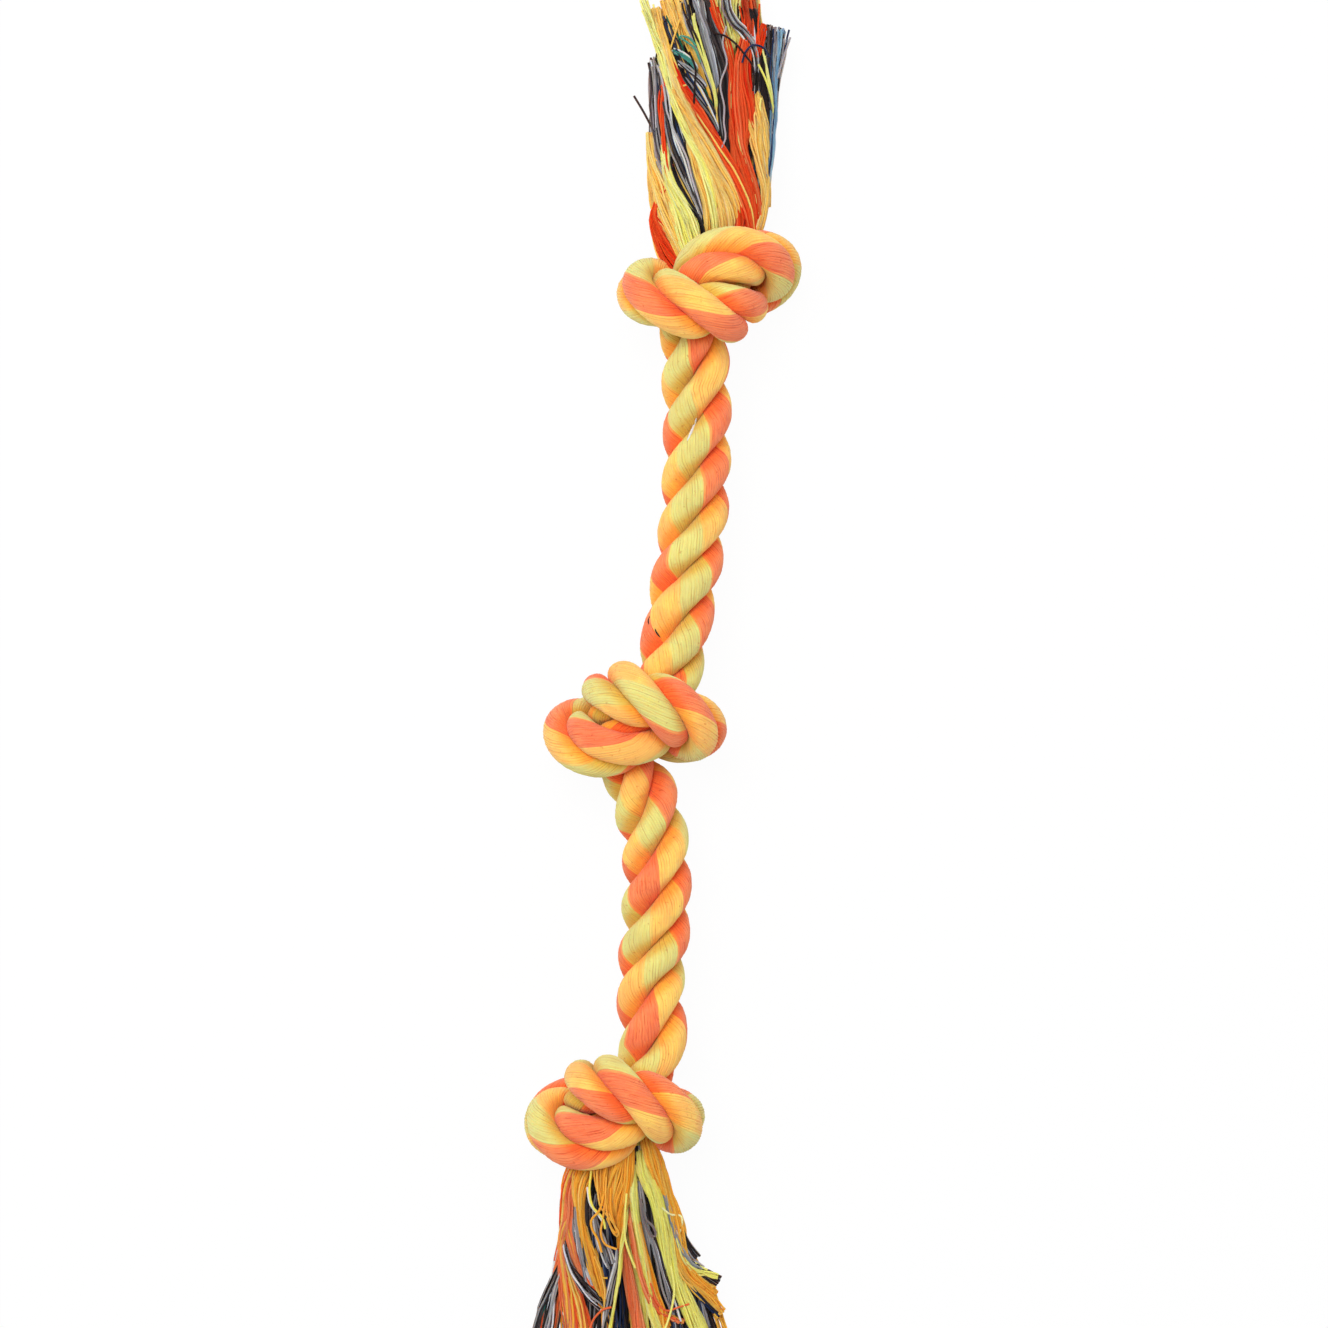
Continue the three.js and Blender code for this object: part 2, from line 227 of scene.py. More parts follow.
def smooth_line(points, per_span=60):
    """A centripetal curve through the points."""
    points = np.asarray(points, float)
    padded = np.vstack([2 * points[0] - points[1], points, 2 * points[-1] - points[-2]])
    share = np.arange(per_span)[:, None] / per_span
    drawn = []
    for p0, p1, p2, p3 in zip(padded, padded[1:], padded[2:], padded[3:]):
        gaps = [max(np.linalg.norm(b - a) ** 0.5, 1e-3) for a, b in ((p0, p1), (p1, p2), (p2, p3))]
        times = np.concatenate([[0], np.cumsum(gaps)])
        time = times[1] + share * gaps[1]
        first = [
            (times[k + 1] - time) / gaps[k] * a + (time - times[k]) / gaps[k] * b
            for k, (a, b) in enumerate(((p0, p1), (p1, p2), (p2, p3)))
        ]
        second = [
            ((times[k + 2] - time) * first[k] + (time - times[k]) * first[k + 1]) / (times[k + 2] - times[k])
            for k in (0, 1)
        ]
        drawn.append(((times[2] - time) * second[0] + (time - times[1]) * second[1]) / gaps[1])
    return np.vstack(drawn + [points[-1:]])


def travel(drawn):
    """How far along a drawn line each of its points lies."""
    return np.concatenate([[0], np.cumsum(np.linalg.norm(np.diff(drawn, axis=0), axis=1))])


def even_steps(drawn, step):
    """Lengths along a drawn line in even steps of about that size, and the points there."""
    travelled = travel(drawn)
    lengths = np.linspace(0, travelled[-1], int(travelled[-1] / step) + 1)
    return lengths, np.column_stack([np.interp(lengths, travelled, column) for column in drawn.T])


def flat_line(line, count):
    """How far aside and how far out a smooth line through some marks is, at a count of even steps along it."""
    lengths, drawn = even_steps(smooth_line(line, 20), 0.1)
    at = np.linspace(0, lengths[-1], count)
    return [np.interp(at, lengths, column) for column in drawn.T]


def untwisted_frames(points, across=(1, 0, 0)):
    """The line's direction and two directions across it that don't turn about it."""
    along = normalized(np.gradient(points, axis=0))
    across = np.array(across, float)
    sideways = []
    for direction in along:
        across = across - direction * (across @ direction)
        across = across / np.linalg.norm(across)
        sideways.append(across)
    sideways = np.array(sideways)
    return along, sideways, np.cross(along, sideways)


def knot_points(name, pass_spacing):
    """A knot's points from its lower tail to its upper one."""
    roll, tilt, lead = KNOT_TURNS[name]
    upper = KNOT_ROUTE_SHARES * pass_spacing
    lower = upper[1:] * (1, -1, -1)
    shares = np.vstack([lower[::-1], upper])
    tail_end = upper[-1][2]
    led = lead * smoothstep(np.abs(shares[:, 2]), tail_end / 3, tail_end)
    x, y, z = shares[:, 0], shares[:, 2], -shares[:, 1]
    roll, tilt = math.radians(roll), math.radians(tilt)
    x, z = x * math.cos(roll) + z * math.sin(roll), z * math.cos(roll) - x * math.sin(roll)
    x, y = x * math.cos(tilt) - y * math.sin(tilt), x * math.sin(tilt) + y * math.cos(tilt)
    return np.column_stack([x + led, y, z]) + knot_centre(name)


def knot_centre(name):
    if name == "middle":
        # The free stretches start level with the middle knot.
        near = (BENDS["lower_near"] + BENDS["upper_near"]) / 2
        return np.array([near.x + MIDDLE_KNOT_SHIFT[0], near.y + MIDDLE_KNOT_SHIFT[1], near.z])
    root = BENDS[f"{name}_tassel"]
    way = 1 if name == "top" else -1
    return np.array([root.x - KNOT_TURNS[name][2], root.y - way * TASSEL_FROM_KNOT, root.z])


class Rope:
    """The rope's centreline from the bottom tassel to the top one, with frames and the rope's radius along it."""

    def __init__(self, sizes):
        spacing = sizes.pass_spacing / MM
        knots = {name: knot_points(name, spacing) for name in KNOT_TURNS}
        past = np.array((0, PAST_ROOT, 0))
        bend = {name: np.array(point) for name, point in BENDS.items()}
        middle = {name: (bend[f"{name}_far"] + bend[f"{name}_near"]) / 2 + (bow, 0, 0) for name, bow in BOWS.items()}
        points = np.vstack(
            [
                bend["bottom_tassel"] - past,
                bend["bottom_tassel"],
                knots["bottom"][1:],
                bend["lower_far"],
                middle["lower"],
                bend["lower_near"],
                knots["middle"],
                bend["upper_near"],
                middle["upper"],
                bend["upper_far"],
                knots["top"][:-1],
                bend["top_tassel"],
                bend["top_tassel"] + past,
            ]
        )
        self.length, self.at = even_steps(smooth_line(points), LINE_STEP)
        self.at[:, 0] += eased(np.interp(self.length, *zip(*SAG)), EASED_OVER)
        self.along, self.across, self.up = untwisted_frames(self.at)
        spans = [[self.length_at(knot[1]), self.length_at(knot[-2])] for knot in knots.values()]
        spans[0][0], spans[-1][1] = 0, self.length[-1]
        self.knot_spans = spans
        outside = np.min([np.maximum(low - self.length, self.length - high) for low, high in spans], axis=0)
        freed = smoothstep(outside, 0, sizes.squeeze_ease / MM)
        full, squeezed = sizes.rope_diameter / 2 / MM, sizes.knot_rope_diameter / 2 / MM
        from_end = np.minimum(self.length, self.length[-1] - self.length) - PAST_ROOT
        end_share = END_SHARE + (1 - END_SHARE) * smoothstep(from_end, *END_EASE)
        self.radius = (squeezed + (full - squeezed) * freed) * end_share
        self.mid = {name: self.length_at(point) for name, point in middle.items()}

    def length_at(self, point):
        return self.length[np.argmin(np.linalg.norm(self.at - point, axis=1))]

    def sample(self, values, lengths):
        """A value of the line at other lengths along it."""
        if values.ndim == 1:
            return np.interp(lengths, self.length, values)
        return np.column_stack([np.interp(lengths, self.length, column) for column in values.T])

    def turned(self, lengths):
        """The angle of strand a about the rope."""
        (_, low_start), (low_end, up_start), (up_end, _) = self.knot_spans
        turns = {}
        for name, span in (("lower", (low_start, low_end)), ("upper", (up_start, up_end))):
            shown = np.argmin(np.where(self.in_span(span), np.abs(self.at[:, 1] - FRONT_OF_B[name]), 999))
            angle = self.front(self.length[shown]) / (2 * math.pi) - 1 / 3
            turns[name] = [angle + (end - self.length[shown]) / STRETCH_LAY[name] for end in span]
        across = (up_start - low_end) / KNOT_LAY
        whole = round(turns["lower"][1] + across - turns["upper"][0])
        turns["upper"] = [turn + whole for turn in turns["upper"]]
        bottom = turns["lower"][0] - low_start / KNOT_LAY
        top = turns["upper"][1] + (self.length[-1] - up_end) / KNOT_LAY
        places = [0, low_start, low_end, up_start, up_end, self.length[-1]]
        marks = [bottom, *turns["lower"], *turns["upper"], top]
        every = np.arange(-20, self.length[-1] + 20, LINE_STEP)
        found = np.interp(every, places, marks) + np.interp(every, *zip(*KNOT_SLIP)) / 360
        return 2 * math.pi * np.interp(lengths, every, eased(found, EASED_OVER))

    def in_span(self, span):
        return (self.length > span[0] - 5) & (self.length < span[1] + 5)

    def front(self, length):
        """The angle about the rope of the way up from the floor."""
        place = np.argmin(np.abs(self.length - length))
        return math.atan2(self.up[place][2], self.across[place][2])


# How far the rope lies aside of the CAD source's line, in millimetres at lengths along it.
SAG = ((322, 0), (338, 2.6), (352, 2.6), (366, 0), (585, 0), (605, 1.3), (625, 1), (650, 0))

# Where strand b comes to the front in a free stretch, the length of one turn of the strands there and in a knot,
# and how far the knots turn them on about the rope, in degrees at lengths along it.
FRONT_OF_B = {"lower": -78.9, "upper": 55.4}
STRETCH_LAY = {"lower": 51.2, "upper": 54}
KNOT_LAY = 56
KNOT_SLIP = (
    (84, 120), (204, 130), (259, 0), (376, 0), (408, 17), (520, 90), (596, 0), (688, 0), (722, -130), (845, -180),
)

# How far each strand's colours are turned round it, in degrees, at lengths along the rope.
COLOUR_TURNS = {
    "a": (
        (84, 38), (97, 8), (204, 18), (250, -175), (259, -158), (280, -155), (306, -172), (318, -172), (408, -193),
        (520, -164), (575, -324), (600, -378), (640, -396), (676, -440), (851, -346),
    ),
    "b": (
        (84, 23), (175, 85), (243, -18), (256, -25), (282, -78), (318, -78), (338, -135), (397, -194), (555, 150),
        (578, 150), (600, -15), (640, -30), (667, -80), (714, 165), (722, 126), (728, 84), (733, 70), (840, 3),
    ),
    "c": (
        (100, -108), (112, -130), (212, -132), (259, -326), (318, -326), (336, -380), (417, -426), (532, -505),
        (590, -667), (600, -680), (640, -735), (676, -740), (716, -932), (834, -1015),
    ),
}

# The strand whose colours follow each other the other way round.
TURNED_STRAND = 1

# The radius of a round strand in a rope of radius 1, and by how much its place and its radius are uneven, over how far.
LOBE_SHARE = 0.65
UNEVEN_LAY = (0.03, 23)
UNEVEN_LOBE = (0.025, 17)

# The share of its radius by which a strand is pressed in where the painted crease shade starts and where it is full,
# and how often that painted shade is blurred round the ring.
CREASE_SHADE_DEPTHS = (0.004, 0.1)
CREASE_SHADE_BLURS = 4

# A strand doesn't press on its own length within this many radii. A surface that nothing presses on is left free.
OWN_REACH = 2.6
NEAR_REACH = 3
LEAST_FACING = 0.05
FREE = 99

# How sharply a round lobe turns into a flat side, and how often the result is smoothed.
FLATTENING = 8
REACH_BLURS = 3

# Each yarn has this many sides of a strand's ring. Pairs of how far it stands proud and the length over which it does.
YARN_SHARE = 4
PROUD = ((0.07, 9), (0.05, 31))


class Strands:
    """The surfaces of the three strands: rings of points along the rope, flattened where strands press, with painted
    crease shade.
    """

    def __init__(self, rope, sizes):
        self.rope = rope
        self.sides = YARN_SHARE * sizes.yarns
        step = sizes.ring_step / MM
        self.length = np.arange(0, rope.length[-1], step)
        at, radius = rope.sample(rope.at, self.length), rope.sample(rope.radius, self.length)
        across = normalized(rope.sample(rope.across, self.length))
        up = normalized(rope.sample(rope.up, self.length))
        rng = np.random.default_rng(RNG_SEED)
        laid = [rope.turned(self.length) + k * THIRD for k in range(3)]
        self.centres = []
        for k in range(3):
            outward = ways_round(across, up, laid[k][:, None])[:, 0]
            uneven = 1 + UNEVEN_LAY[0] * wander(self.length, UNEVEN_LAY[1], rng)
            self.centres.append(at + outward * ((1 - LOBE_SHARE) * radius * uneven)[:, None])
        self.rings, self.crease_shades = [], []
        for k in range(3):
            ways = ways_round(across, up, self.colour_angles(k, laid[k]))
            lobe = radius * LOBE_SHARE * (1 + UNEVEN_LOBE[0] * wander(self.length, UNEVEN_LOBE[1], rng))
            reach = self.reach(k, ways, lobe, sizes, radius)
            # Painted crease shade: it grows where the strand is pressed flat and is blurred round the ring.
            pressed_shade = smoothstep(1 - reach / lobe[:, None], *CREASE_SHADE_DEPTHS)
            for _ in range(CREASE_SHADE_BLURS):
                pressed_shade = (np.roll(pressed_shade, 2, axis=1) + pressed_shade + np.roll(pressed_shade, -2, axis=1)) / 3
            self.crease_shades.append(pressed_shade)
            reach += self.yarn_relief(sizes, rng)
            ring = self.centres[k][:, None] + ways * reach[..., None]
            ring[..., 2] = np.maximum(ring[..., 2], LOWEST)
            self.rings.append(ring * MM)

    def colour_angles(self, k, laid):
        """The angle about the rope of each side of each ring, so that the yarns run along the rope on its outside."""
        lower, upper = (self.rope.front(self.rope.mid[name]) for name in ("lower", "upper"))
        upper = lower + math.remainder(upper - lower, math.pi)
        front = lower + (upper - lower) * np.interp(self.length, self.rope.knot_spans[1], [0, 1])
        turned = np.radians(np.interp(self.length, *zip(*COLOUR_TURNS[STRANDS[k]])))
        share = np.arange(self.sides) / self.sides
        way = -1 if k == TURNED_STRAND else 1
        about = (2 * (front - laid) + turned)[:, None] + way * (2 * math.pi * share - math.pi)[None]
        # The yarns lie closer together on the outside of the rope, just enough to stay in line with it there.
        return laid[:, None] + about - (1 - 1 / (2 * LOBE_SHARE)) * np.sin(about)

    def reach(self, k, ways, lobe, sizes, radius):
        """How far the surface lies from the strand's middle: a round lobe, flattened half way to its neighbours."""
        everything = np.vstack(self.centres)
        lengths = np.tile(self.length, 3)
        strand = np.repeat(np.arange(3), len(self.length))
        half_gap = sizes.strand_gap / 2 / MM
        limits = np.empty(ways.shape[:2])
        for i, centre in enumerate(self.centres[k]):
            away = everything - centre
            distance = np.linalg.norm(away, axis=1)
            own = (strand == k) & (np.abs(lengths - self.length[i]) < OWN_REACH * radius[i])
            near = (distance < NEAR_REACH * lobe[i]) & ~own
            facing = ways[i] @ (away[near] / distance[near, None]).T
            beside = self.to_plane(distance[near] / 2 - half_gap, facing).min(axis=1)
            limits[i] = np.minimum(beside, self.to_plane(centre[2], -ways[i][:, 2]))
        found = (limits**-FLATTENING + lobe[:, None] ** -FLATTENING) ** (-1 / FLATTENING)
        for _ in range(REACH_BLURS):
            found = (np.roll(found, 1, axis=1) + 2 * found + np.roll(found, -1, axis=1)) / 4
            found[1:-1] = (found[:-2] + 2 * found[1:-1] + found[2:]) / 4
        return found

    def to_plane(self, distance, facing):
        """How far it is, along directions that face a plane by some share, to that plane at a distance."""
        return np.where(facing > LEAST_FACING, distance / np.maximum(facing, LEAST_FACING), FREE)

    def yarn_relief(self, sizes, rng):
        """Grooves between the yarns, some of which stand prouder than others for a while."""
        part = np.arange(self.sides) % YARN_SHARE / YARN_SHARE
        groove = -sizes.groove_depth / MM * (1 - np.abs(np.sin(math.pi * part)))
        relief = np.tile(groove, (len(self.length), 1))
        for first in range(0, self.sides, YARN_SHARE):
            proud = sum(most * wander(self.length, spacing, rng) for most, spacing in PROUD)
            relief[:, first + 1 : first + YARN_SHARE] += proud[:, None]
        return relief


# The tassels. Each place is given by how far aside of the root and how far out from it, in millimetres.

# How far the bundle reaches to both sides of its root, at distances out from it.
TASSEL_EDGES = {
    "top": (
        (-26, -15, 15), (-14, -18, 20), (0, -19, 22.5), (20, -19.6, 24.5), (40, -19.4, 26.5), (52, -18.4, 27),
        (60, -16.6, 27), (70, -15, 21.5), (84, -13, 20),
    ),
    "bottom": (
        (-26, -15, 9), (-10, -25, 12), (0, -26, 13.5), (20, -27.5, 19), (40, -32, 30), (60, -36, 36), (84, -38, 40),
    ),
}

# Locks of yarn: its colour, the number of yarns, how thick it is, how high it lies in the bundle at its start, over
# most of its length and at its end (1 is the top of the bundle), and its line: how far aside, how far out and how wide.
TOP_LOCKS = (
    ("coral", 40, 3, 0.2, 0.75, 0.1,
     ((-6, -26, 3), (-12.5, -14, 4.5), (-16, -6, 2.8), (-17.4, -1, 1.4), (-13, 10, 1), (-10, 26, 1))),
    ("orange", 52, 3, 0.2, 0.85, 0.8,
     ((-5, -24, 2), (-10.5, -10, 2.4), (-14, 0, 4.2), (-16.3, 10, 3.4), (-18.4, 18, 1.7), (-19.2, 25, 0.7),
      (-19.4, 30, 0.4))),
    ("lemon", 58, 3, 0.3, 0.95, 0.5,
     ((-2, -22, 3), (-5, -11, 4.2), (-6.8, -3, 4), (-9.2, 3, 2.9), (-11.6, 9, 1.8), (-13, 15, 1.2), (-14, 30, 1.2))),
    ("dark", 34, 3, 0.3, 0.88, 0.6,
     ((2, -16, 1), (-0.5, -5, 1.6), (-3.8, 3, 2.8), (-7, 12, 4), (-9.3, 22, 4), (-11.3, 32, 3.4), (-13, 42, 3),
      (-14, 56, 2.6))),
    ("ash", 6, 1, 0.4, 1.02, 0.9,
     ((1.5, -12, 0.6), (-1, -2, 0.8), (-4.2, 7, 1.6), (-7.2, 17, 2.6), (-10.5, 27, 2.4), (-12.3, 37, 2.4),
      (-13.4, 49, 2.4), (-16, 57, 2))),
    ("ash", 20, 2.5, 0.1, 0.8, 0.8,
     ((-4, -8, 2), (-11.5, 10, 2), (-15.3, 20, 2), (-17, 30, 1.6), (-17.2, 40, 1.8), (-17, 50, 2.4),
      (-17.5, 58, 2.4))),
    ("coral", 5, 0.6, 0.3, 1.0, 0.9,
     ((-10, 4, 0.5), (-13.4, 17, 0.5), (-14.8, 28, 0.7), (-15.2, 40, 0.5), (-14.4, 50, 0.4))),
    ("orange", 22, 2, 0.4, 0.95, 0.7,
     ((2, -13, 0.6), (1.2, -4, 0.6), (0.3, 4, 1), (-1.9, 12, 1.4), (-3.6, 20, 1), (-6, 30, 0.6))),
    ("orange", 96, 4, 0.3, 1.08, 0.9,
     ((8, -16, 3), (9.4, -4, 5), (8.2, 5, 4.6), (4.6, 14, 3.4), (0.2, 24, 2.8), (-4.4, 34, 2.2), (-8.6, 44, 1.8),
      (-11.8, 55, 1.5), (-13.8, 63, 1.2), (-17, 76, 1.2))),
    ("lemon", 22, 2, 0.4, 1.06, 0.9,
     ((5, -16, 1), (4.2, -3, 1.3), (2.2, 8, 1.5), (-0.8, 18, 1.5), (-5.4, 28, 1.3), (-9.6, 38, 1.1), (-13, 50, 1.1),
      (-15.4, 60, 1.3), (-18.4, 69, 1.1), (-22, 79, 0.8))),
    ("coral", 30, 2, 0.4, 1.08, 0.9,
     ((17, -16, 1.5), (16.6, -4, 2), (14.4, 5, 2), (10.8, 14, 1.8), (6, 23, 1.6), (1.2, 31, 1.6), (-3.8, 39, 1.5),
      (-8, 46, 1.3), (-11, 54, 1), (-14, 62, 0.9), (-16.5, 70, 0.9))),
    # Coral yarns mixed with deep red ones that are painted shade.
    ("rust", 12, 1, 0.3, 0.98, 0.7, ((12, -14, 2), (13, -3, 2), (12, 6, 3), (11.5, 14, 2), (12, 21, 1.4))),
    ("coral", 56, 3, 0.4, 1.0, 0.55,
     ((18, -16, 2), (17.8, -4, 3.4), (17.6, 6, 3.2), (15.6, 15, 2.6), (13.4, 24, 2.6), (14, 32, 4.5), (14.2, 40, 4.3),
      (13.8, 48, 3.3), (14.4, 56, 2.6), (15.6, 64, 1.6), (16.5, 77, 1))),
    ("coral", 15, 1.5, 0.4, 0.95, 0.95,
     ((14, -10, 1), (12, 12, 1), (10.8, 24, 1), (10.2, 36, 1), (10.4, 46, 1.1), (10.2, 54, 1.4), (8.4, 62, 1.3),
      (5.6, 69, 1.3), (3.4, 77, 1.2))),
    ("orange", 56, 3, 0.3, 1.04, 0.5,
     ((17, -14, 2), (21.4, -2, 1), (22.6, 8, 1.4), (21.6, 17, 2.9), (21, 25, 3.6), (21.3, 32, 2.6), (20.4, 38, 1.4),
      (19, 48, 1))),
    ("orange", 10, 1, 0.3, 1.0, 0.4,
     ((23.6, 2, 0.5), (23.4, 10, 0.9), (21.6, 18, 1.8), (19.4, 25, 1.6), (17, 31, 1), (15, 40, 0.8))),
    ("dark", 40, 3, 0.1, 0.76, 0.8,
     ((20, 0, 1), (24, 20, 1.2), (24, 30, 1.8), (23, 40, 3), (22.6, 50, 3), (23, 60, 2.4), (23.6, 70, 2))),
    ("steel", 24, 2, 0.1, 0.94, 0.95,
     ((21, 0, 1), (24.4, 20, 0.7), (25.2, 30, 0.8), (26, 42, 1), (26.5, 52, 1.5), (27.6, 61, 2.3), (28.2, 69, 2.7))),
    ("lemon", 2, 0.5, 0.4, 1.0, 0.9, ((25, 30, 0.3), (26, 38, 0.4), (24.6, 46, 0.5), (23, 54, 0.7), (21.5, 60, 0.5))),
    ("dark", 40, 3, 0.3, 0.92, 0.7,
     ((8, 8, 1), (8, 20, 1.2), (7.6, 30, 2.2), (7.4, 40, 2.5), (7.8, 50, 2), (6, 60, 2.4), (3.6, 70, 2),
      (1.5, 78, 2))),
    ("dark", 44, 3, 0.3, 0.9, 0.8,
     ((8, 18, 1), (5, 28, 1.8), (1.4, 36, 3.2), (-2.4, 43, 3.6), (-5.6, 49, 2.8), (-8, 56, 2.2), (-11, 64, 2),
      (-14, 73, 1.8))),
    ("ash", 5, 0.7, 0.4, 0.98, 0.9, ((7, 24, 0.6), (3.6, 32, 1), (-0.6, 39, 2), (-4.6, 45, 2.6), (-9, 52, 1.6))),
    ("orange", 30, 2.5, 0.3, 0.84, 0.95,
     ((5, 36, 0.8), (2, 46, 1), (-1.4, 55, 1.5), (-4.4, 64, 2), (-6.4, 72, 2.5), (-8, 79, 2.8))),
    ("orange", 22, 2, 0.2, 0.84, 0.95,
     ((-4, 42, 0.8), (-8, 56, 1), (-9.4, 64, 1.4), (-11.6, 71, 2.3), (-13.6, 79, 2.4))),
    ("dark", 14, 1.5, 0.3, 0.95, 0.95,
     ((6, 34, 0.6), (3.6, 44, 0.8), (0.6, 53, 1), (-2.4, 62, 1.1), (-5.2, 71, 1.1), (-7, 78, 1))),
    ("lemon", 3, 0.4, 0.4, 1.0, 0.95,
     ((5, 34, 0.3), (4.4, 41, 0.4), (2.4, 49, 0.6), (0, 57, 0.5), (-2.4, 65, 0.5), (-4, 72, 0.4))),
    ("ash", 14, 1.6, 0.3, 0.9, 0.95,
     ((6.6, 40, 0.6), (5, 48, 0.9), (3.4, 56, 1.2), (1.4, 65, 1.7), (-1.4, 75, 1.9), (-2, 79, 2))),
    ("teal", 7, 0.8, 0.5, 0.98, 0.98, ((-1.5, 51, 0.6), (-4, 54.6, 0.8), (-7.4, 57.4, 0.9), (-11, 59.4, 0.7))),
    ("ash", 5, 0.6, 0.5, 1.0, 0.98, ((2, 44, 0.5), (-1.4, 48.6, 0.8), (-5, 51.6, 0.9), (-9, 55.4, 0.8))),
    ("ash", 11, 1.4, 0.4, 0.98, 0.98,
     ((17.6, 46, 0.6), (19.4, 53, 0.9), (18.6, 60, 1.2), (15, 65.6, 1.6), (11.4, 69, 1.5), (9, 74, 1.5),
      (8, 80, 1.4))),
    ("dark", 18, 2, 0.3, 0.9, 0.95, ((18.4, 40, 1), (19, 50, 1.2), (19.8, 58, 1.3), (19.6, 66, 1.2), (18, 75, 1.2))),
    # Coral yarns mixed with deep red ones that are painted shade.
    ("rust", 22, 2, 0.2, 0.82, 0.9, ((14, 50, 2), (15.6, 58, 2.4), (17.4, 65, 2.6), (17, 73, 3), (16, 80, 3))),
    ("lemon", 9, 1.6, 0.2, 0.6, 0.96, ((10, 56, 1), (11.4, 66, 1.2), (12.6, 71, 2), (13.4, 79, 2.2))),
    ("coral", 8, 1, 0.4, 0.96, 0.96, ((18.6, 54, 0.5), (20.4, 61, 0.8), (21.4, 66, 1), (22.4, 70, 1))),
)
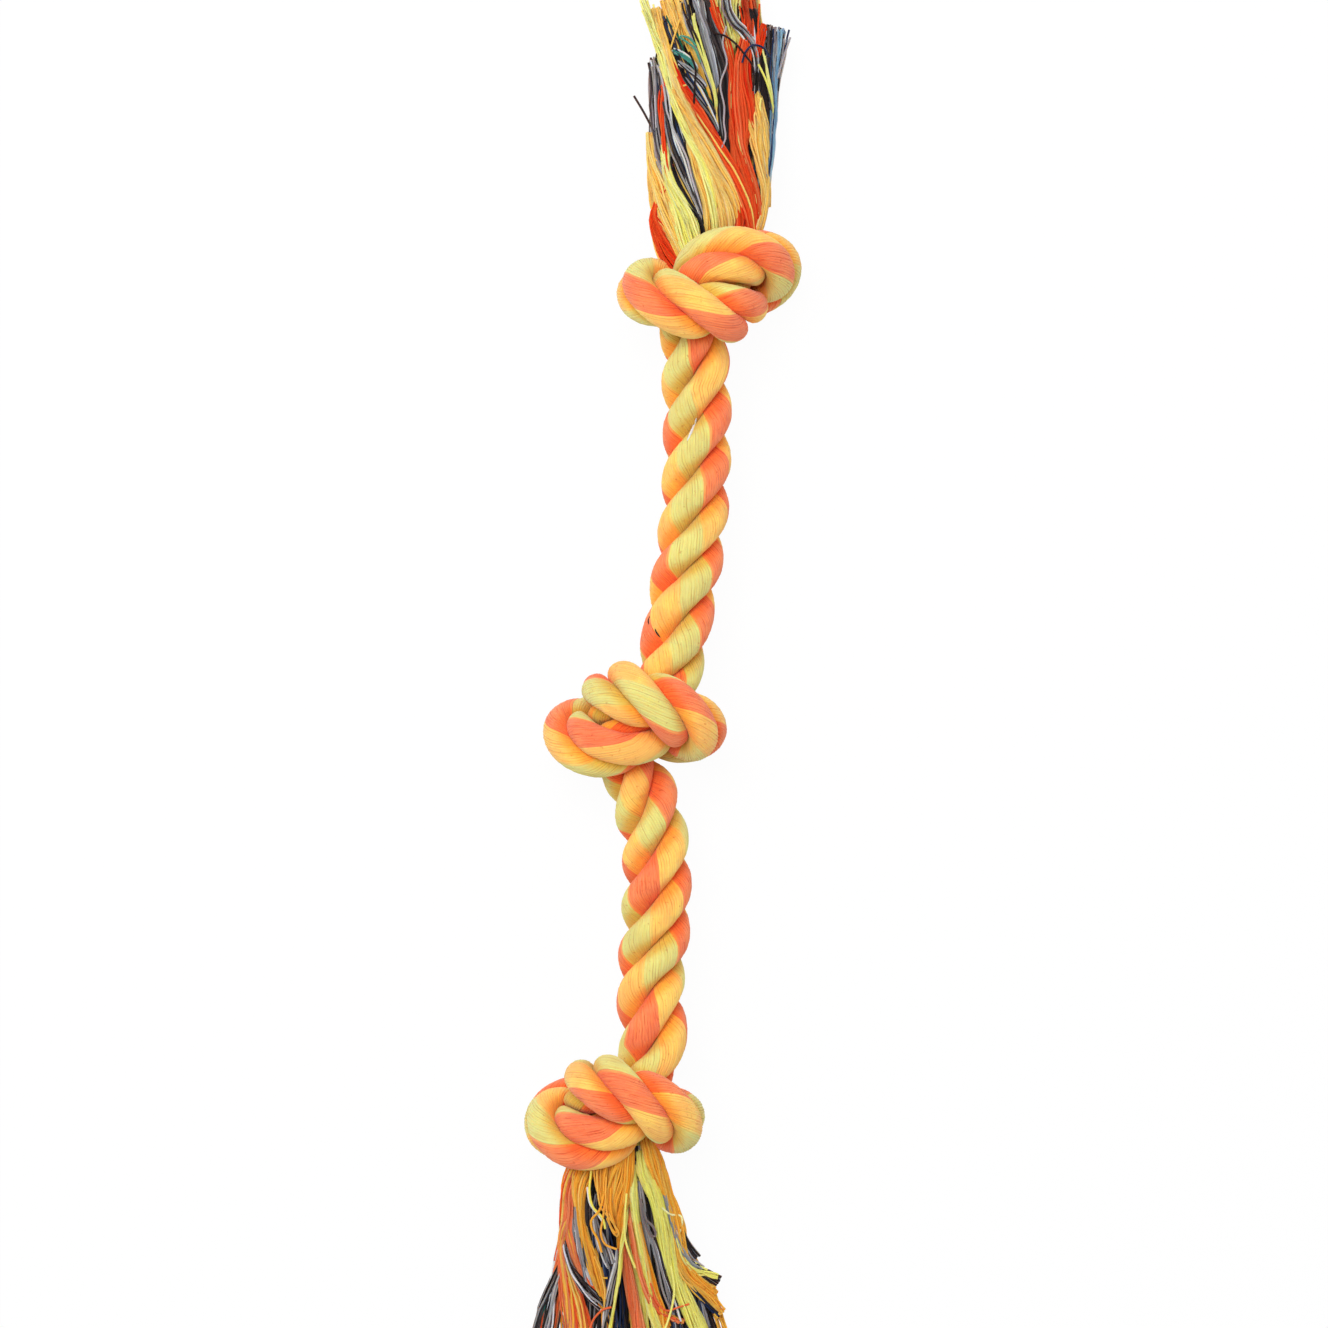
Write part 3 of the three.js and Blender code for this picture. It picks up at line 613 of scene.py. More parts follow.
BOTTOM_LOCKS = (
    ("ember", 40, 3, 0.1, 0.85, 0.8,
     ((-17, -18, 2), (-22, -7, 1.8), (-23.9, 0, 2), (-23.8, 8, 2.5), (-24, 14, 2.4), (-22.6, 20, 2.2),
      (-20.8, 26, 1.5), (-18, 32, 1.2), (-14, 38, 1), (-11, 42, 0.8), (-7, 50, 0.8))),
    ("ember", 70, 3.5, 0.1, 0.97, 0.98,
     ((-22, 2, 1), (-26, 20, 1), (-25, 30, 2), (-22.6, 40, 4), (-20.4, 50, 5), (-18.6, 62, 5.4), (-17, 82, 6))),
    ("orange", 18, 1.5, 0.2, 0.97, 0.98,
     ((-23, 6, 1), (-26.4, 22, 0.7), (-25.6, 30, 1), (-22.6, 40, 2.6), (-19.6, 50, 3), (-17.6, 62, 4),
      (-15, 80, 4.6))),
    ("orange", 46, 3, 0.2, 0.98, 0.8,
     ((-14, -16, 4), (-18.4, -6, 3.8), (-19.6, 0, 2.6), (-19.2, 6, 1.3), (-18.8, 12, 1.3), (-17.2, 19, 1.8),
      (-15.4, 25, 2.4), (-13.6, 31, 2.4), (-12, 37, 1.9), (-10.6, 43, 1.2), (-9, 54, 1))),
    ("orange", 34, 1.8, 0.3, 1.05, 0.8,
     ((-7, -18, 6), (-8.4, -8, 6.6), (-8.8, -2, 5.2), (-8.6, 3, 3), (-7.4, 8, 1.4), (-6.4, 12, 0.6))),
    ("orange", 40, 3, 0.3, 1.0, 0.8,
     ((-2, -20, 2), (-2.4, -12, 2.4), (-2.6, -4, 2), (-3.2, 2, 1.7), (-4.4, 8, 1), (-4.6, 15, 0.6),
      (-4.2, 22, 0.5))),
    ("dark", 50, 3, 0.1, 0.82, 0.7,
     ((-13, -8, 3), (-15, 3, 3.4), (-14.6, 12, 3.2), (-13, 21, 2.6), (-10.4, 30, 3), (-9, 40, 2), (-8, 52, 2.4),
      (-7, 66, 3), (-6, 80, 3.4))),
    ("navy", 26, 2, 0.1, 0.88, 0.8, ((-13, 12, 1), (-11, 21, 1.6), (-9.8, 28, 2.4), (-8.8, 34, 2), (-8.6, 42, 1.4))),
    ("ash", 20, 2, 0.2, 0.96, 0.98,
     ((-14.4, 6, 0.6), (-13.4, 12, 1), (-11.6, 18, 1.9), (-10, 23, 2), (-8.4, 28.5, 1.4))),
    ("ash", 16, 1.5, 0.2, 0.92, 0.8,
     ((-21, 4, 0.8), (-20.8, 14, 1), (-19.8, 20, 1.5), (-18.4, 26, 1.3), (-16.6, 33, 1), (-14, 42, 0.8))),
    ("dark", 10, 1, 0.3, 0.97, 0.8,
     ((-20.4, 2, 0.6), (-20.4, 9, 0.8), (-19.3, 17, 0.8), (-17.8, 25, 0.8), (-16, 33, 0.7))),
    ("ash", 4, 0.6, 0.8, 1.04, 1.0,
     ((-26, 16, 0.5), (-24.6, 24, 0.4), (-22, 31, 0.4), (-17.4, 38, 0.5), (-11.6, 44.6, 0.6))),
    ("dark", 4, 0.8, 0.6, 0.99, 0.9,
     ((-25.4, 16, 0.5), (-22.8, 28, 0.9), (-17.4, 35, 1.4), (-11, 42, 1.2), (-8, 50, 0.8))),
    ("ash", 7, 1, 0.4, 1.04, 1.0,
     ((-5.4, 20, 0.5), (-6.2, 27, 0.9), (-7.6, 33, 1), (-9, 40, 1), (-10.4, 48, 0.8), (-11, 58, 1))),
    ("lemon", 3, 0.5, 0.6, 1.1, 1.05,
     ((-2, 2, 0.3), (-3, 12, 0.4), (-4.4, 22, 0.5), (-5.4, 32, 0.4), (-7, 41, 0.4), (-8.2, 52, 0.5), (-8, 64, 0.6))),
    # Coral yarns mixed with deep red ones that are painted shade.
    ("rust", 16, 2, 0.2, 0.85, 0.8, ((-4, 2, 1), (-4.2, 9, 1.3), (-4.4, 16, 1), (-4, 24, 0.8))),
    ("coral", 44, 3, 0.2, 0.92, 0.9,
     ((-4, 6, 0.8), (-4, 16, 0.8), (-3, 25, 1.3), (-1.4, 34, 1.7), (0.2, 43, 1.9), (1.6, 52, 2.2), (3, 64, 2.6),
      (4, 80, 3))),
    ("coral", 14, 1.4, 0.3, 1.0, 0.95,
     ((-2, 2, 0.5), (-1.4, 9, 0.6), (-0.4, 17, 0.8), (1.2, 26, 0.8), (3.2, 33, 0.8), (5.6, 39.4, 1.2),
      (9.4, 44.6, 1.1), (14, 47, 0.9), (18, 49.6, 0.8))),
    ("lemon", 36, 2.5, 0.3, 0.95, 0.95,
     ((1, -16, 1), (-0.4, -2, 1.5), (0.5, 6, 1.3), (1.6, 14, 1.2), (3, 22, 1.4), (4.2, 29, 1.2), (5.2, 36, 1.1),
      (6.4, 43, 1.3), (9, 50, 1.7), (13, 60, 2.2), (16, 78, 3))),
    ("orange", 12, 1, 0.4, 1.0, 0.95,
     ((0.5, 4, 0.4), (2, 12, 0.4), (3.6, 20, 0.6), (5.4, 28, 0.8), (7.2, 36, 0.9), (9.6, 43, 0.8), (12, 52, 1))),
    ("dark", 74, 4, 0.1, 0.85, 0.8,
     ((1, -12, 1), (2.6, -2, 1.9), (4.6, 6, 2.6), (6, 14, 2.5), (7.6, 22, 2.6), (9.6, 30, 3), (11.6, 38, 3.1),
      (14, 46, 2.8), (16, 56, 3), (19, 70, 4), (22, 82, 4.4))),
    ("ash", 5, 0.7, 0.4, 0.98, 0.95,
     ((1.4, -2, 0.5), (3.2, 7, 0.9), (5.4, 14, 1.4), (7.6, 21, 1.4), (9.8, 30, 1.6), (12.6, 40, 1.6), (16, 50, 2))),
    ("lemon", 92, 4, 0.3, 1.0, 0.95,
     ((1.5, -20, 1.5), (3.2, -8, 2.3), (6.8, 0, 2.5), (9.3, 8, 2.4), (11, 15, 2.8), (12.5, 22, 2.8), (14.4, 30, 2.6),
      (17, 38, 2.5), (20.4, 45, 2.8), (24, 53, 3), (28, 64, 3.4), (32, 80, 4))),
    ("orange", 66, 3.5, 0.3, 0.92, 0.8,
     ((3, -24, 2), (6.6, -13, 3), (9.6, -5, 2.5), (12.2, 2, 1.7), (14.6, 9, 1.8), (16.2, 15, 2), (17.4, 20, 1.4),
      (19, 27, 0.9))),
    ("ash", 7, 0.8, 0.5, 1.0, 0.95,
     ((9.6, -4, 0.3), (12, 4, 0.4), (14.4, 14, 0.5), (17.4, 22, 0.7), (20.6, 27.4, 0.9), (25, 30.6, 0.7))),
    ("orange", 34, 2, 0.4, 0.95, 0.95,
     ((10.6, -2, 0.5), (13.4, 9, 0.7), (15.2, 19, 1), (18.2, 28, 1.5), (22.4, 34, 1.7), (27, 38, 1.5),
      (30, 40.4, 1.2))),
    ("dark", 24, 2.4, 0.1, 0.85, 0.9, ((13, 12, 0.8), (18, 25, 1), (22, 30, 1.3), (26.4, 33, 1.8), (31, 35.6, 2))),
    ("lemon", 6, 0.6, 0.4, 1.0, 0.95,
     ((14, 14, 0.4), (18, 26, 0.5), (22.4, 31, 0.5), (27, 32.6, 0.5), (30.6, 33.4, 0.4))),
    ("dark", 12, 1.2, 0.3, 0.97, 0.95,
     ((12, 20, 0.5), (16, 30, 0.7), (20.6, 36, 0.8), (26, 42, 0.8), (31.4, 48, 0.8))),
    ("orange", 12, 1, 0.4, 0.99, 0.95,
     ((14, 22, 0.5), (18, 32, 0.7), (23.6, 38, 0.9), (28.6, 43, 0.9), (32.4, 47.4, 0.8))),
    ("dark", 10, 1.2, 0.3, 0.9, 0.9, ((15, 8, 0.5), (18.6, 19, 0.7), (21, 23.4, 0.8), (23.2, 26.6, 0.8))),
    ("dark", 52, 5, -0.2, 0.6, 0.7,
     ((-20, 8, 1), (-24, 24, 1.2), (-27.4, 33, 1.6), (-30.4, 41, 2.4), (-32.2, 48, 3.4), (-33.4, 58, 4.2),
      (-34, 78, 5))),
    ("ash", 22, 2.5, 0, 0.72, 0.8, ((-22, 20, 1.2), (-27, 32, 0.8), (-29.4, 39, 1.2), (-31, 47, 1.6), (-32, 58, 2))),
    ("navy", 26, 2.5, -0.1, 0.7, 0.75, ((22, 36, 1), (26, 48, 2), (30, 60, 2.6), (34, 80, 3.4))),
)
# Single yarns that stray from the locks: a colour, how high it lies and its line.
STRAYS = {
    "top": (
        ("dark", 1.12, ((2, 68), (4, 64.6), (8, 63.4), (12, 60.4), (15, 57), (17.6, 53.6), (18.4, 50), (18, 44))),
        ("dark", 1.12, ((14, 54), (15.4, 58), (18, 60.6), (21.8, 60), (24, 57))),
        ("dark", 1.08, ((-2.4, 60), (-5, 63), (-8.6, 64), (-3, 59), (-1, 54))),
        ("dark", 1.1, ((-3.4, 38), (-3, 46), (-2.8, 52), (-5, 58))),
        ("ash", 1.1, ((6.4, 22), (8, 26), (7.4, 32), (7.6, 38), (6.2, 46), (8.6, 54), (7, 61), (8.4, 67))),
        ("dark", 0.7, ((-12, 20), (-18, 31), (-21.6, 38), (-25, 43.8))),
        ("lemon", 0.9, ((-12, 58), (-15.4, 63), (-16.4, 70), (-18, 77))),
        ("steel", 0.9, ((27, 50), (29.4, 58), (31.8, 65))),
        ("orange", 1.1, ((-6, 46), (-11, 44.6), (-8, 40), (-4, 34))),
        ("orange", 1.1, ((-13, 56), (-11, 62), (-8.4, 70))),
        ("coral", 1.06, ((20.4, 60), (20, 68), (20.6, 77))),
        ("lemon", 1.04, ((20, 54), (22.6, 49), (24.4, 44), (25.6, 39))),
        ("lemon", 1.04, ((21, 42), (20.6, 38), (22.4, 34))),
    ),
    "bottom": (
        ("orange", 1.16,
         ((-9.6, -6), (-9.8, 2), (-9, 9), (-7.4, 14), (-5.8, 16), (-5.2, 14.4), (-6.8, 11.6), (-8.6, 7))),
        ("orange", 1.14, ((-8, -2), (-8, 6), (-6.6, 12), (-5.6, 14.8), (-7, 14), (-9.4, 9))),
        ("orange", 1.18, ((-10.4, 0), (-12, 6), (-15, 10), (-14.8, 13), (-12.6, 17.4), (-11.4, 22))),
        ("orange", 1.14, ((-10, 2), (-10.8, 9), (-11.6, 15), (-10, 19), (-6, 20.8))),
        ("orange", 1.12, ((-13, -8), (-12.6, 0), (-11.6, 5), (-8.6, 9), (-6.4, 12))),
        ("lemon", 1.14, ((-15, -8), (-15.6, 0), (-14.4, 5), (-11, 9), (-10, 13))),
        ("ash", 1.08, ((-16.4, -2), (-15.4, 4), (-12.6, 8), (-10.6, 11))),
        ("ash", 1.16, ((2.6, 2), (3.4, 9), (5, 13.4), (6.6, 16.2), (8, 16), (7, 12.6), (4.4, 9.6), (3, 5))),
        ("lemon", 1.14, ((-2.4, 0), (-3, 8), (-3, 16), (-1.6, 22), (0.6, 28))),
        ("orange", 1.05, ((-14, 24), (-12, 29), (-11.2, 32), (-9.4, 32.2))),
        ("lemon", 1.06, ((10, 6), (13.4, 9), (17, 10.2), (17.4, 13), (16.6, 16))),
        ("coral", 1.12, ((6, 34), (9, 42), (12, 44.4), (16, 43.4), (20, 42.4))),
        ("coral", 1.1, ((-16, 52), (-14.4, 47.6), (-11, 44), (-8, 43))),
        ("lemon", 1.14, ((13.4, 28), (14.6, 36), (14, 42), (12, 49), (9, 56), (8, 62))),
        ("lemon", 0.9, ((22, 28), (24, 29.6), (26.6, 31))),
        ("orange", 0.95, ((26, 38), (30, 42), (33, 46))),
    ),
}

# The yarns of each named mixture and the share of each.
MIXTURES = {
    "lemon": (("yellow", 1.0),),
    "orange": (("orange", 1.0),),
    "coral": (("coral", 0.94), ("orange", 0.06)),
    "ember": (("coral", 0.72), ("orange", 0.28)),
    # Coral mixed with deep red yarns that are painted shade.
    "rust": (("coral", 0.6), ("rust", 0.4)),
    "dark": (("charcoal", 0.74), ("navy", 0.07), ("grey", 0.13), ("orange", 0.03), ("white", 0.02), ("teal", 0.01)),
    "ash": (("grey", 0.48), ("white", 0.27), ("charcoal", 0.25)),
    "navy": (("navy", 0.35), ("charcoal", 0.45), ("blue", 0.1), ("grey", 0.1)),
    "steel": (("blue", 0.4), ("navy", 0.1), ("grey", 0.32), ("charcoal", 0.18)),
    "teal": (("teal", 0.7), ("white", 0.3)),
}
# How deep the dye is in the yarns of each end.
YARN_DEPTHS = {"top": {"coral": 1.45}, "bottom": {"yellow": 1.25, "orange": 1.5, "coral": 0.9}}

# How many yarns fill each bundle, and the mixtures of their bunches, one after the other.
FILL_YARNS = {"top": 330, "bottom": 400}
FILL_COLOURS = "dark ash orange dark coral ash lemon dark orange coral navy lemon ash".split()

# The length of a tassel past its root, the rings and sides of a yarn's mesh, and the metres between two rings.
TASSEL_LENGTH = 83.5
YARN_RINGS = 24
YARN_SIDES = 4
YARN_STEP = 0.0042

# The locks that a mixture's yarns replace. The waste yarns replace those of the cores.
KINDS = {"lemon": "yellow", "orange": "orange", "coral": "coral", "rust": "coral", "ember": "coral"}

# The bundle's middle sinks to this height over these distances out from the root, and half its thickness is given
# at distances out. A place is kept within this share of its half width.
BUNDLE_MIDDLE = 12.8
BUNDLE_SINKS = (-4, 46)
BUNDLE_HALVES = ((-26, 9), (-8, 11.8), (20, 12.6), (84, 12.2))
EDGE = 0.97

# Yarns laid one after the other by this angle fill a round bundle evenly.
FILLING_ANGLE = 2.39996

# How far along a lock it lies at each of its heights.
HEIGHT_SHARES = (0, 0.16, 0.8, 1)

# By how much a lock's yarns may be shorter, the length over which they turn about it by a radian, and how loose they
# are at its start and how much more at its end. Pairs of how far loose yarns stray and over what length: aside in long
# and in short waves, and up or down.
LOCK_SHORTER = 0.09
LOCK_TURN = 26
LOOSE = (0.28, 0.5)
STRAYED = ((1.3, 13), (0.5, 5), (0.8, 11))

# The filling yarns start this far out from the root, gathered to half the bundle's width up to the other distance.
# By how much they may be shorter, how far a yarn lies from the middle of its bunch, aside and up, and within what
# heights. Pairs of how far they stray aside and over what length: in shares of the half width, and in millimetres.
FILL_GATHERED = (-16, 4)
FILL_SHORTER = 0.12
FILL_SPREAD = (0.09, 0.1)
FILL_HEIGHTS = (-0.95, 0.62)
FILL_STRAYED = ((0.06, 30), (0.4, 9))

# How unevenly the dye takes: the spread of its depth, how often a yarn is given painted shade, darker and purer as if
# it lay a little deeper, and by how much, and the spread of its tone.
DYE_SPREAD = 0.14
SHADED_YARN_SHARE = 0.12
SHADE_POWER = 0.35
TONE_SPREAD = 0.025


class Tassel:
    """The yarns of one tassel, sorted by the colour of the locks that they replace."""

    def __init__(self, name, locks, sizes, palette):
        self.root = BENDS[f"{name}_tassel"]
        self.way = 1 if name == "top" else -1
        self.radius = sizes.tassel_yarn_diameter / 2 / MM
        self.fullness = sizes.tassel_fullness
        self.palette = palette
        self.depths = YARN_DEPTHS[name]
        self.rng = np.random.default_rng(RNG_SEED + (1 if name == "top" else 2))
        self.edges = np.array(TASSEL_EDGES[name]).T
        self.lines, self.colours = ({kind: [] for kind in ("yellow", "orange", "coral", "core")} for _ in range(2))
        self.fill(FILL_YARNS[name])
        for colour, count, thick, low, high, last, line in locks:
            self.lock(colour, count, thick, (low, high, high, last), line)
        for colour, height, line in STRAYS[name]:
            self.add(colour, [self.place(*flat_line(line, YARN_RINGS), height)])

    def place(self, aside, out, height):
        """A point of the bundle at a height from -1, its underside, to 1, its top."""
        middle, half = self.width(out)
        off = np.clip((aside - middle) / half, -EDGE, EDGE)
        sunk = self.root.z - (self.root.z - BUNDLE_MIDDLE) * smoothstep(out, *BUNDLE_SINKS)
        up = sunk + height * np.interp(out, *zip(*BUNDLE_HALVES)) * np.sqrt(1 - off**2)
        return np.stack([self.root.x + aside, self.root.y + self.way * out, up], axis=-1)

    def width(self, out):
        """The middle of the bundle between its edges, and half its width, at distances out from the root."""
        left, right = (np.interp(out, self.edges[0], edge) for edge in self.edges[1:])
        return (left + right) / 2, (right - left) / 2

    def add(self, colour, lines):
        """Yarns of a mixture, each in one of its colours."""
        names, shares = zip(*MIXTURES[colour])
        rng, kind = self.rng, KINDS.get(colour, "core")
        for line in lines:
            picked = names[rng.choice(len(names), p=np.array(shares) / sum(shares))]
            # A power above 1 makes a colour darker and purer: deeper dye, and painted shade on yarns taken to lie a
            # little deeper.
            power = self.depths.get(picked, 1) * rng.normal(1, DYE_SPREAD)
            # Painted shade: a share of the yarns is made darker and purer.
            power += SHADE_POWER if rng.random() < SHADED_YARN_SHARE else 0
            tone = 1 + rng.normal(0, TONE_SPREAD, 3)
            self.colours[kind].append(np.clip(np.array(self.palette[picked]) ** power * tone, 0.004, 0.98))
            self.lines[kind].append(line)

    def lock(self, colour, count, thick, heights, line):
        """A lock of yarns that lie round a line, turn about it a little and stray more towards its end."""
        rng = self.rng
        count = round(count * self.fullness)
        drawn = smooth_line(line, 20)
        travelled = travel(drawn[:, :2])
        full = travelled[-1]
        (far, waves), (near, ripples), (high, swells) = STRAYED
        lines = []
        for yarn in range(count):
            share = np.sqrt((yarn + 0.5) / count)
            angle = yarn * FILLING_ANGLE + rng.uniform(-0.2, 0.2)
            length = full * (1 - LOCK_SHORTER * rng.random() ** 2)
            at = np.linspace(0, length, YARN_RINGS)
            aside, out, wide = (np.interp(at, travelled, column) for column in drawn.T)
            slope = normalized(np.gradient(np.column_stack([aside, out]), axis=0))
            turn = angle + at / LOCK_TURN * rng.uniform(0.6, 1.2)
            loose = LOOSE[0] + LOOSE[1] * (at / full) ** 2
            strayed = far * wander(at + rng.uniform(0, 50), waves, rng) + near * wander(at + 9, ripples, rng)
            shift = share * np.cos(turn) * wide + loose * strayed
            height = np.interp(at / full, HEIGHT_SHARES, heights)
            point = self.place(aside + shift * slope[:, 1], out - shift * slope[:, 0], height)
            point[:, 2] += 0.75 * share * np.sin(turn) * thick - thick / 2
            point[:, 2] += loose * high * wander(at + rng.uniform(0, 50), swells, rng)
            lines.append(point)
        self.add(colour, lines)

    def fill(self, count):
        """Yarns that run the whole length inside the bundle and along its sides and underside."""
        rng = self.rng
        (drift, drifts), (far, waves) = FILL_STRAYED
        bunches = len(FILL_COLOURS) * 3
        for bunch in range(bunches):
            angle = bunch * FILLING_ANGLE
            reach = EDGE * math.sqrt((bunch + 0.5) / bunches)
            off, height = reach * math.cos(angle), reach * math.sin(angle)
            lines = []
            for _ in range(count // bunches):
                own_off = np.clip(off + rng.normal(0, FILL_SPREAD[0]), -EDGE, EDGE)
                own_height = np.clip(height + rng.normal(0, FILL_SPREAD[1]), *FILL_HEIGHTS)
                end = TASSEL_LENGTH * (1 - FILL_SHORTER * rng.random() ** 2)
                at = np.linspace(FILL_GATHERED[0], end, YARN_RINGS)
                middle, half = self.width(at)
                share = np.clip(drift * wander(at + 20, drifts, rng) + own_off, -0.98, 0.98)
                gathered = 0.5 + 0.5 * smoothstep(at, *FILL_GATHERED)
                aside = middle + half * gathered * share + far * wander(at + 20, waves, rng)
                lines.append(self.place(aside, at, own_height))
            inside = height > 0.1 and abs(off) < 0.8
            self.add("dark" if inside and bunch % 4 else FILL_COLOURS[bunch % len(FILL_COLOURS)], lines)

    def tubes(self, kind):
        """The rings of each yarn of a kind, with a cut end."""
        centres = np.array(self.lines[kind])
        along = normalized(np.gradient(centres, axis=1))
        across = normalized(np.cross(along, np.array((0.12, 0.05, 1.0))))
        radius = self.radius * self.rng.uniform(0.85, 1.18, len(centres))[:, None, None, None]
        rings = round_tubes(centres, across, np.cross(along, across), radius, YARN_SIDES)
        limit = self.root.y + self.way * TASSEL_LENGTH
        rings[..., 1] = np.minimum(rings[..., 1], limit) if self.way > 0 else np.maximum(rings[..., 1], limit)
        rings[..., 2] = np.maximum(rings[..., 2], LOWEST)
        return rings * MM


# Pieces.


def skin(name, tubes, material, step, start=0):
    """A piece of closed tubes of rings of points. Its grid has a row for each ring, and is cut between the tubes.

    Its second texture coordinate is the length along the tube, in metres.
    """
    tubes = np.asarray(tubes)
    count, steps, sides = tubes.shape[:3]
    rows = count * steps
    sheet = bmesh.new()
    sheet.loops.layers.uv.new("UVMap")
    bmesh.ops.create_grid(sheet, x_segments=sides, y_segments=rows - 1, size=1, calc_uvs=True)
    sheet.faces.ensure_lookup_table()
    between = [sheet.faces[row * sides + side] for row in range(steps - 1, rows - 1, steps) for side in range(sides)]
    if between:
        bmesh.ops.delete(sheet, geom=between, context="FACES")
    mesh = bpy.data.meshes.new(name)
    sheet.to_mesh(mesh)
    sheet.free()
    corners = np.empty(len(mesh.loops), int)
    mesh.loops.foreach_get("vertex_index", corners)
    placed = np.empty(2 * len(corners), np.float32)
    mesh.uv_layers[0].data.foreach_get("uv", placed)
    placed[1::2] = start + corners // (sides + 1) % steps * step
    mesh.uv_layers[0].data.foreach_set("uv", placed)
    points = np.concatenate([tubes, tubes[:, :, :1]], axis=2)
    mesh.vertices.foreach_set("co", points.astype(np.float32).ravel())
    shell = bmesh.new()
    shell.from_mesh(mesh)
    shell.verts.ensure_lookup_table()
    ends = {shell.verts[row * (sides + 1) + sides]: shell.verts[row * (sides + 1)] for row in range(rows)}
    bmesh.ops.weld_verts(shell, targetmap=ends)
    rims = [edge for edge in shell.edges if edge.is_boundary]
    bmesh.ops.holes_fill(shell, edges=rims, sides=0)
    for edge in rims:
        edge.smooth = False
    bmesh.ops.recalc_face_normals(shell, faces=shell.faces)
    shell.to_mesh(mesh)
    shell.free()
    mesh.polygons.foreach_set("use_smooth", np.ones(len(mesh.polygons), bool))
    mesh.materials.append(material)
    piece = bpy.data.objects.new(name, mesh)
    bpy.context.scene.collection.objects.link(piece)
    return piece


def colour_tubes(piece, colours, points):
    """Gives each tube of a piece, of that many points, the colour that its material reads."""
    coloured = np.ones((len(colours), points, 4), np.float32)
    coloured[..., :3] = np.array(colours)[:, None]
    piece.data.attributes.new("yarn_colour", "FLOAT_COLOR", "POINT").data.foreach_set("color", coloured.ravel())


# Materials.


class Wiring:
    """The nodes of a material or of the world."""

    def __init__(self, owner):
        owner.use_nodes = True
        self.tree = owner.node_tree

    def node(self, kind, settings=None, **sockets):
        made = self.tree.nodes.new(kind)
        for name, value in (settings or {}).items():
            setattr(made, name, value)
        return self.fill(made, **sockets)

    def fill(self, made, **sockets):
        """Sets or links inputs of a node, each given by its name or, after a low line, by its number."""
        for name, value in sockets.items():
            number = name.removeprefix("_")
            self.put(made.inputs[int(number) if number.isdigit() else name.replace("_", " ")], value)
        return made

    def put(self, socket, value):
        if isinstance(value, bpy.types.NodeSocket):
            self.tree.links.new(value, socket)
        else:
            socket.default_value = value

    def sum(self, operation, *values):
        sockets = {f"_{k}": value for k, value in enumerate(values)}
        return self.node("ShaderNodeMath", {"operation": operation}, **sockets).outputs[0]

    def map(self, value, low, high, to_low, to_high):
        ends = {"From_Min": low, "From_Max": high, "To_Min": to_low, "To_Max": to_high}
        return self.node("ShaderNodeMapRange", None, Value=value, **ends).outputs["Result"]

    def tint(self, colour, other, share):
        """A colour multiplied by another one, by a share."""
        other = other if isinstance(other, bpy.types.NodeSocket) else (*other, 1)
        settings = {"data_type": "RGBA", "blend_type": "MULTIPLY"}
        return self.node("ShaderNodeMix", settings, _0=share, _6=colour, _7=other).outputs[2]

    def shade(self, colour, value):
        """A colour made lighter or darker by a value near 1."""
        grey = self.node("ShaderNodeCombineColor", None, Red=value, Green=value, Blue=value).outputs[0]
        return self.tint(colour, grey, 1.0)

    def noise(self, place, scale, detail, roughness):
        sockets = {"Vector": place, "Scale": scale, "Detail": detail, "Roughness": roughness}
        return self.node("ShaderNodeTexNoise", None, **sockets).outputs["Fac"]

    def long_noise(self, around, along, around_scale, along_scale, detail):
        """Noise that is longer along the yarns than across them."""
        scaled = self.sum("MULTIPLY", around, around_scale), self.sum("MULTIPLY", along, along_scale)
        place = self.node("ShaderNodeCombineXYZ", None, X=scaled[0], Y=scaled[1]).outputs[0]
        return self.noise(place, 1.0, detail, 0.65)

    def bands(self, value, stops):
        """Colours that follow each other without a blend: pairs of where each starts and the colour."""
        made = self.node("ShaderNodeValToRGB", None, Fac=value)
        ramp = made.color_ramp
        ramp.interpolation = "CONSTANT"
        for number, (place, colour) in enumerate(stops):
            stop = ramp.elements[number] if number < 2 else ramp.elements.new(place)
            stop.position = place
            stop.color = (*colour, 1)
        return made.outputs["Color"]

    def seen_plain(self):
        """Whether a ray comes from the camera, from gloss or through a clear part."""
        rays = self.node("ShaderNodeLightPath").outputs
        clear = self.sum("MAXIMUM", rays["Is Camera Ray"], rays["Is Glossy Ray"])
        return self.sum("MAXIMUM", clear, rays["Is Transmission Ray"])

    def cotton(self, colour, sheen, subsurface, scale, **sockets):
        """Makes the material's own shader soft cotton."""
        shader = self.tree.nodes["Principled BSDF"]
        self.fill(shader, Base_Color=colour, Roughness=0.95, Specular_IOR_Level=0.15, **sockets)
        self.fill(shader, Sheen_Weight=sheen, Sheen_Roughness=0.6)
        self.fill(shader, Subsurface_Weight=subsurface, Subsurface_Radius=(1, 0.5, 0.25), Subsurface_Scale=scale)


def blended(first, second, share):
    return tuple(a + (b - a) * share for a, b in zip(first, second))


def yarn_material(name):
    """A new material, its wiring, and the places that its patterns follow: in space, round a yarn and along it."""
    material = bpy.data.materials.new(name)
    wiring = Wiring(material)
    place = wiring.node("ShaderNodeTexCoord").outputs
    around, along, _ = wiring.node("ShaderNodeSeparateXYZ", None, Vector=place["UV"]).outputs
    return material, wiring, place["Object"], around, along


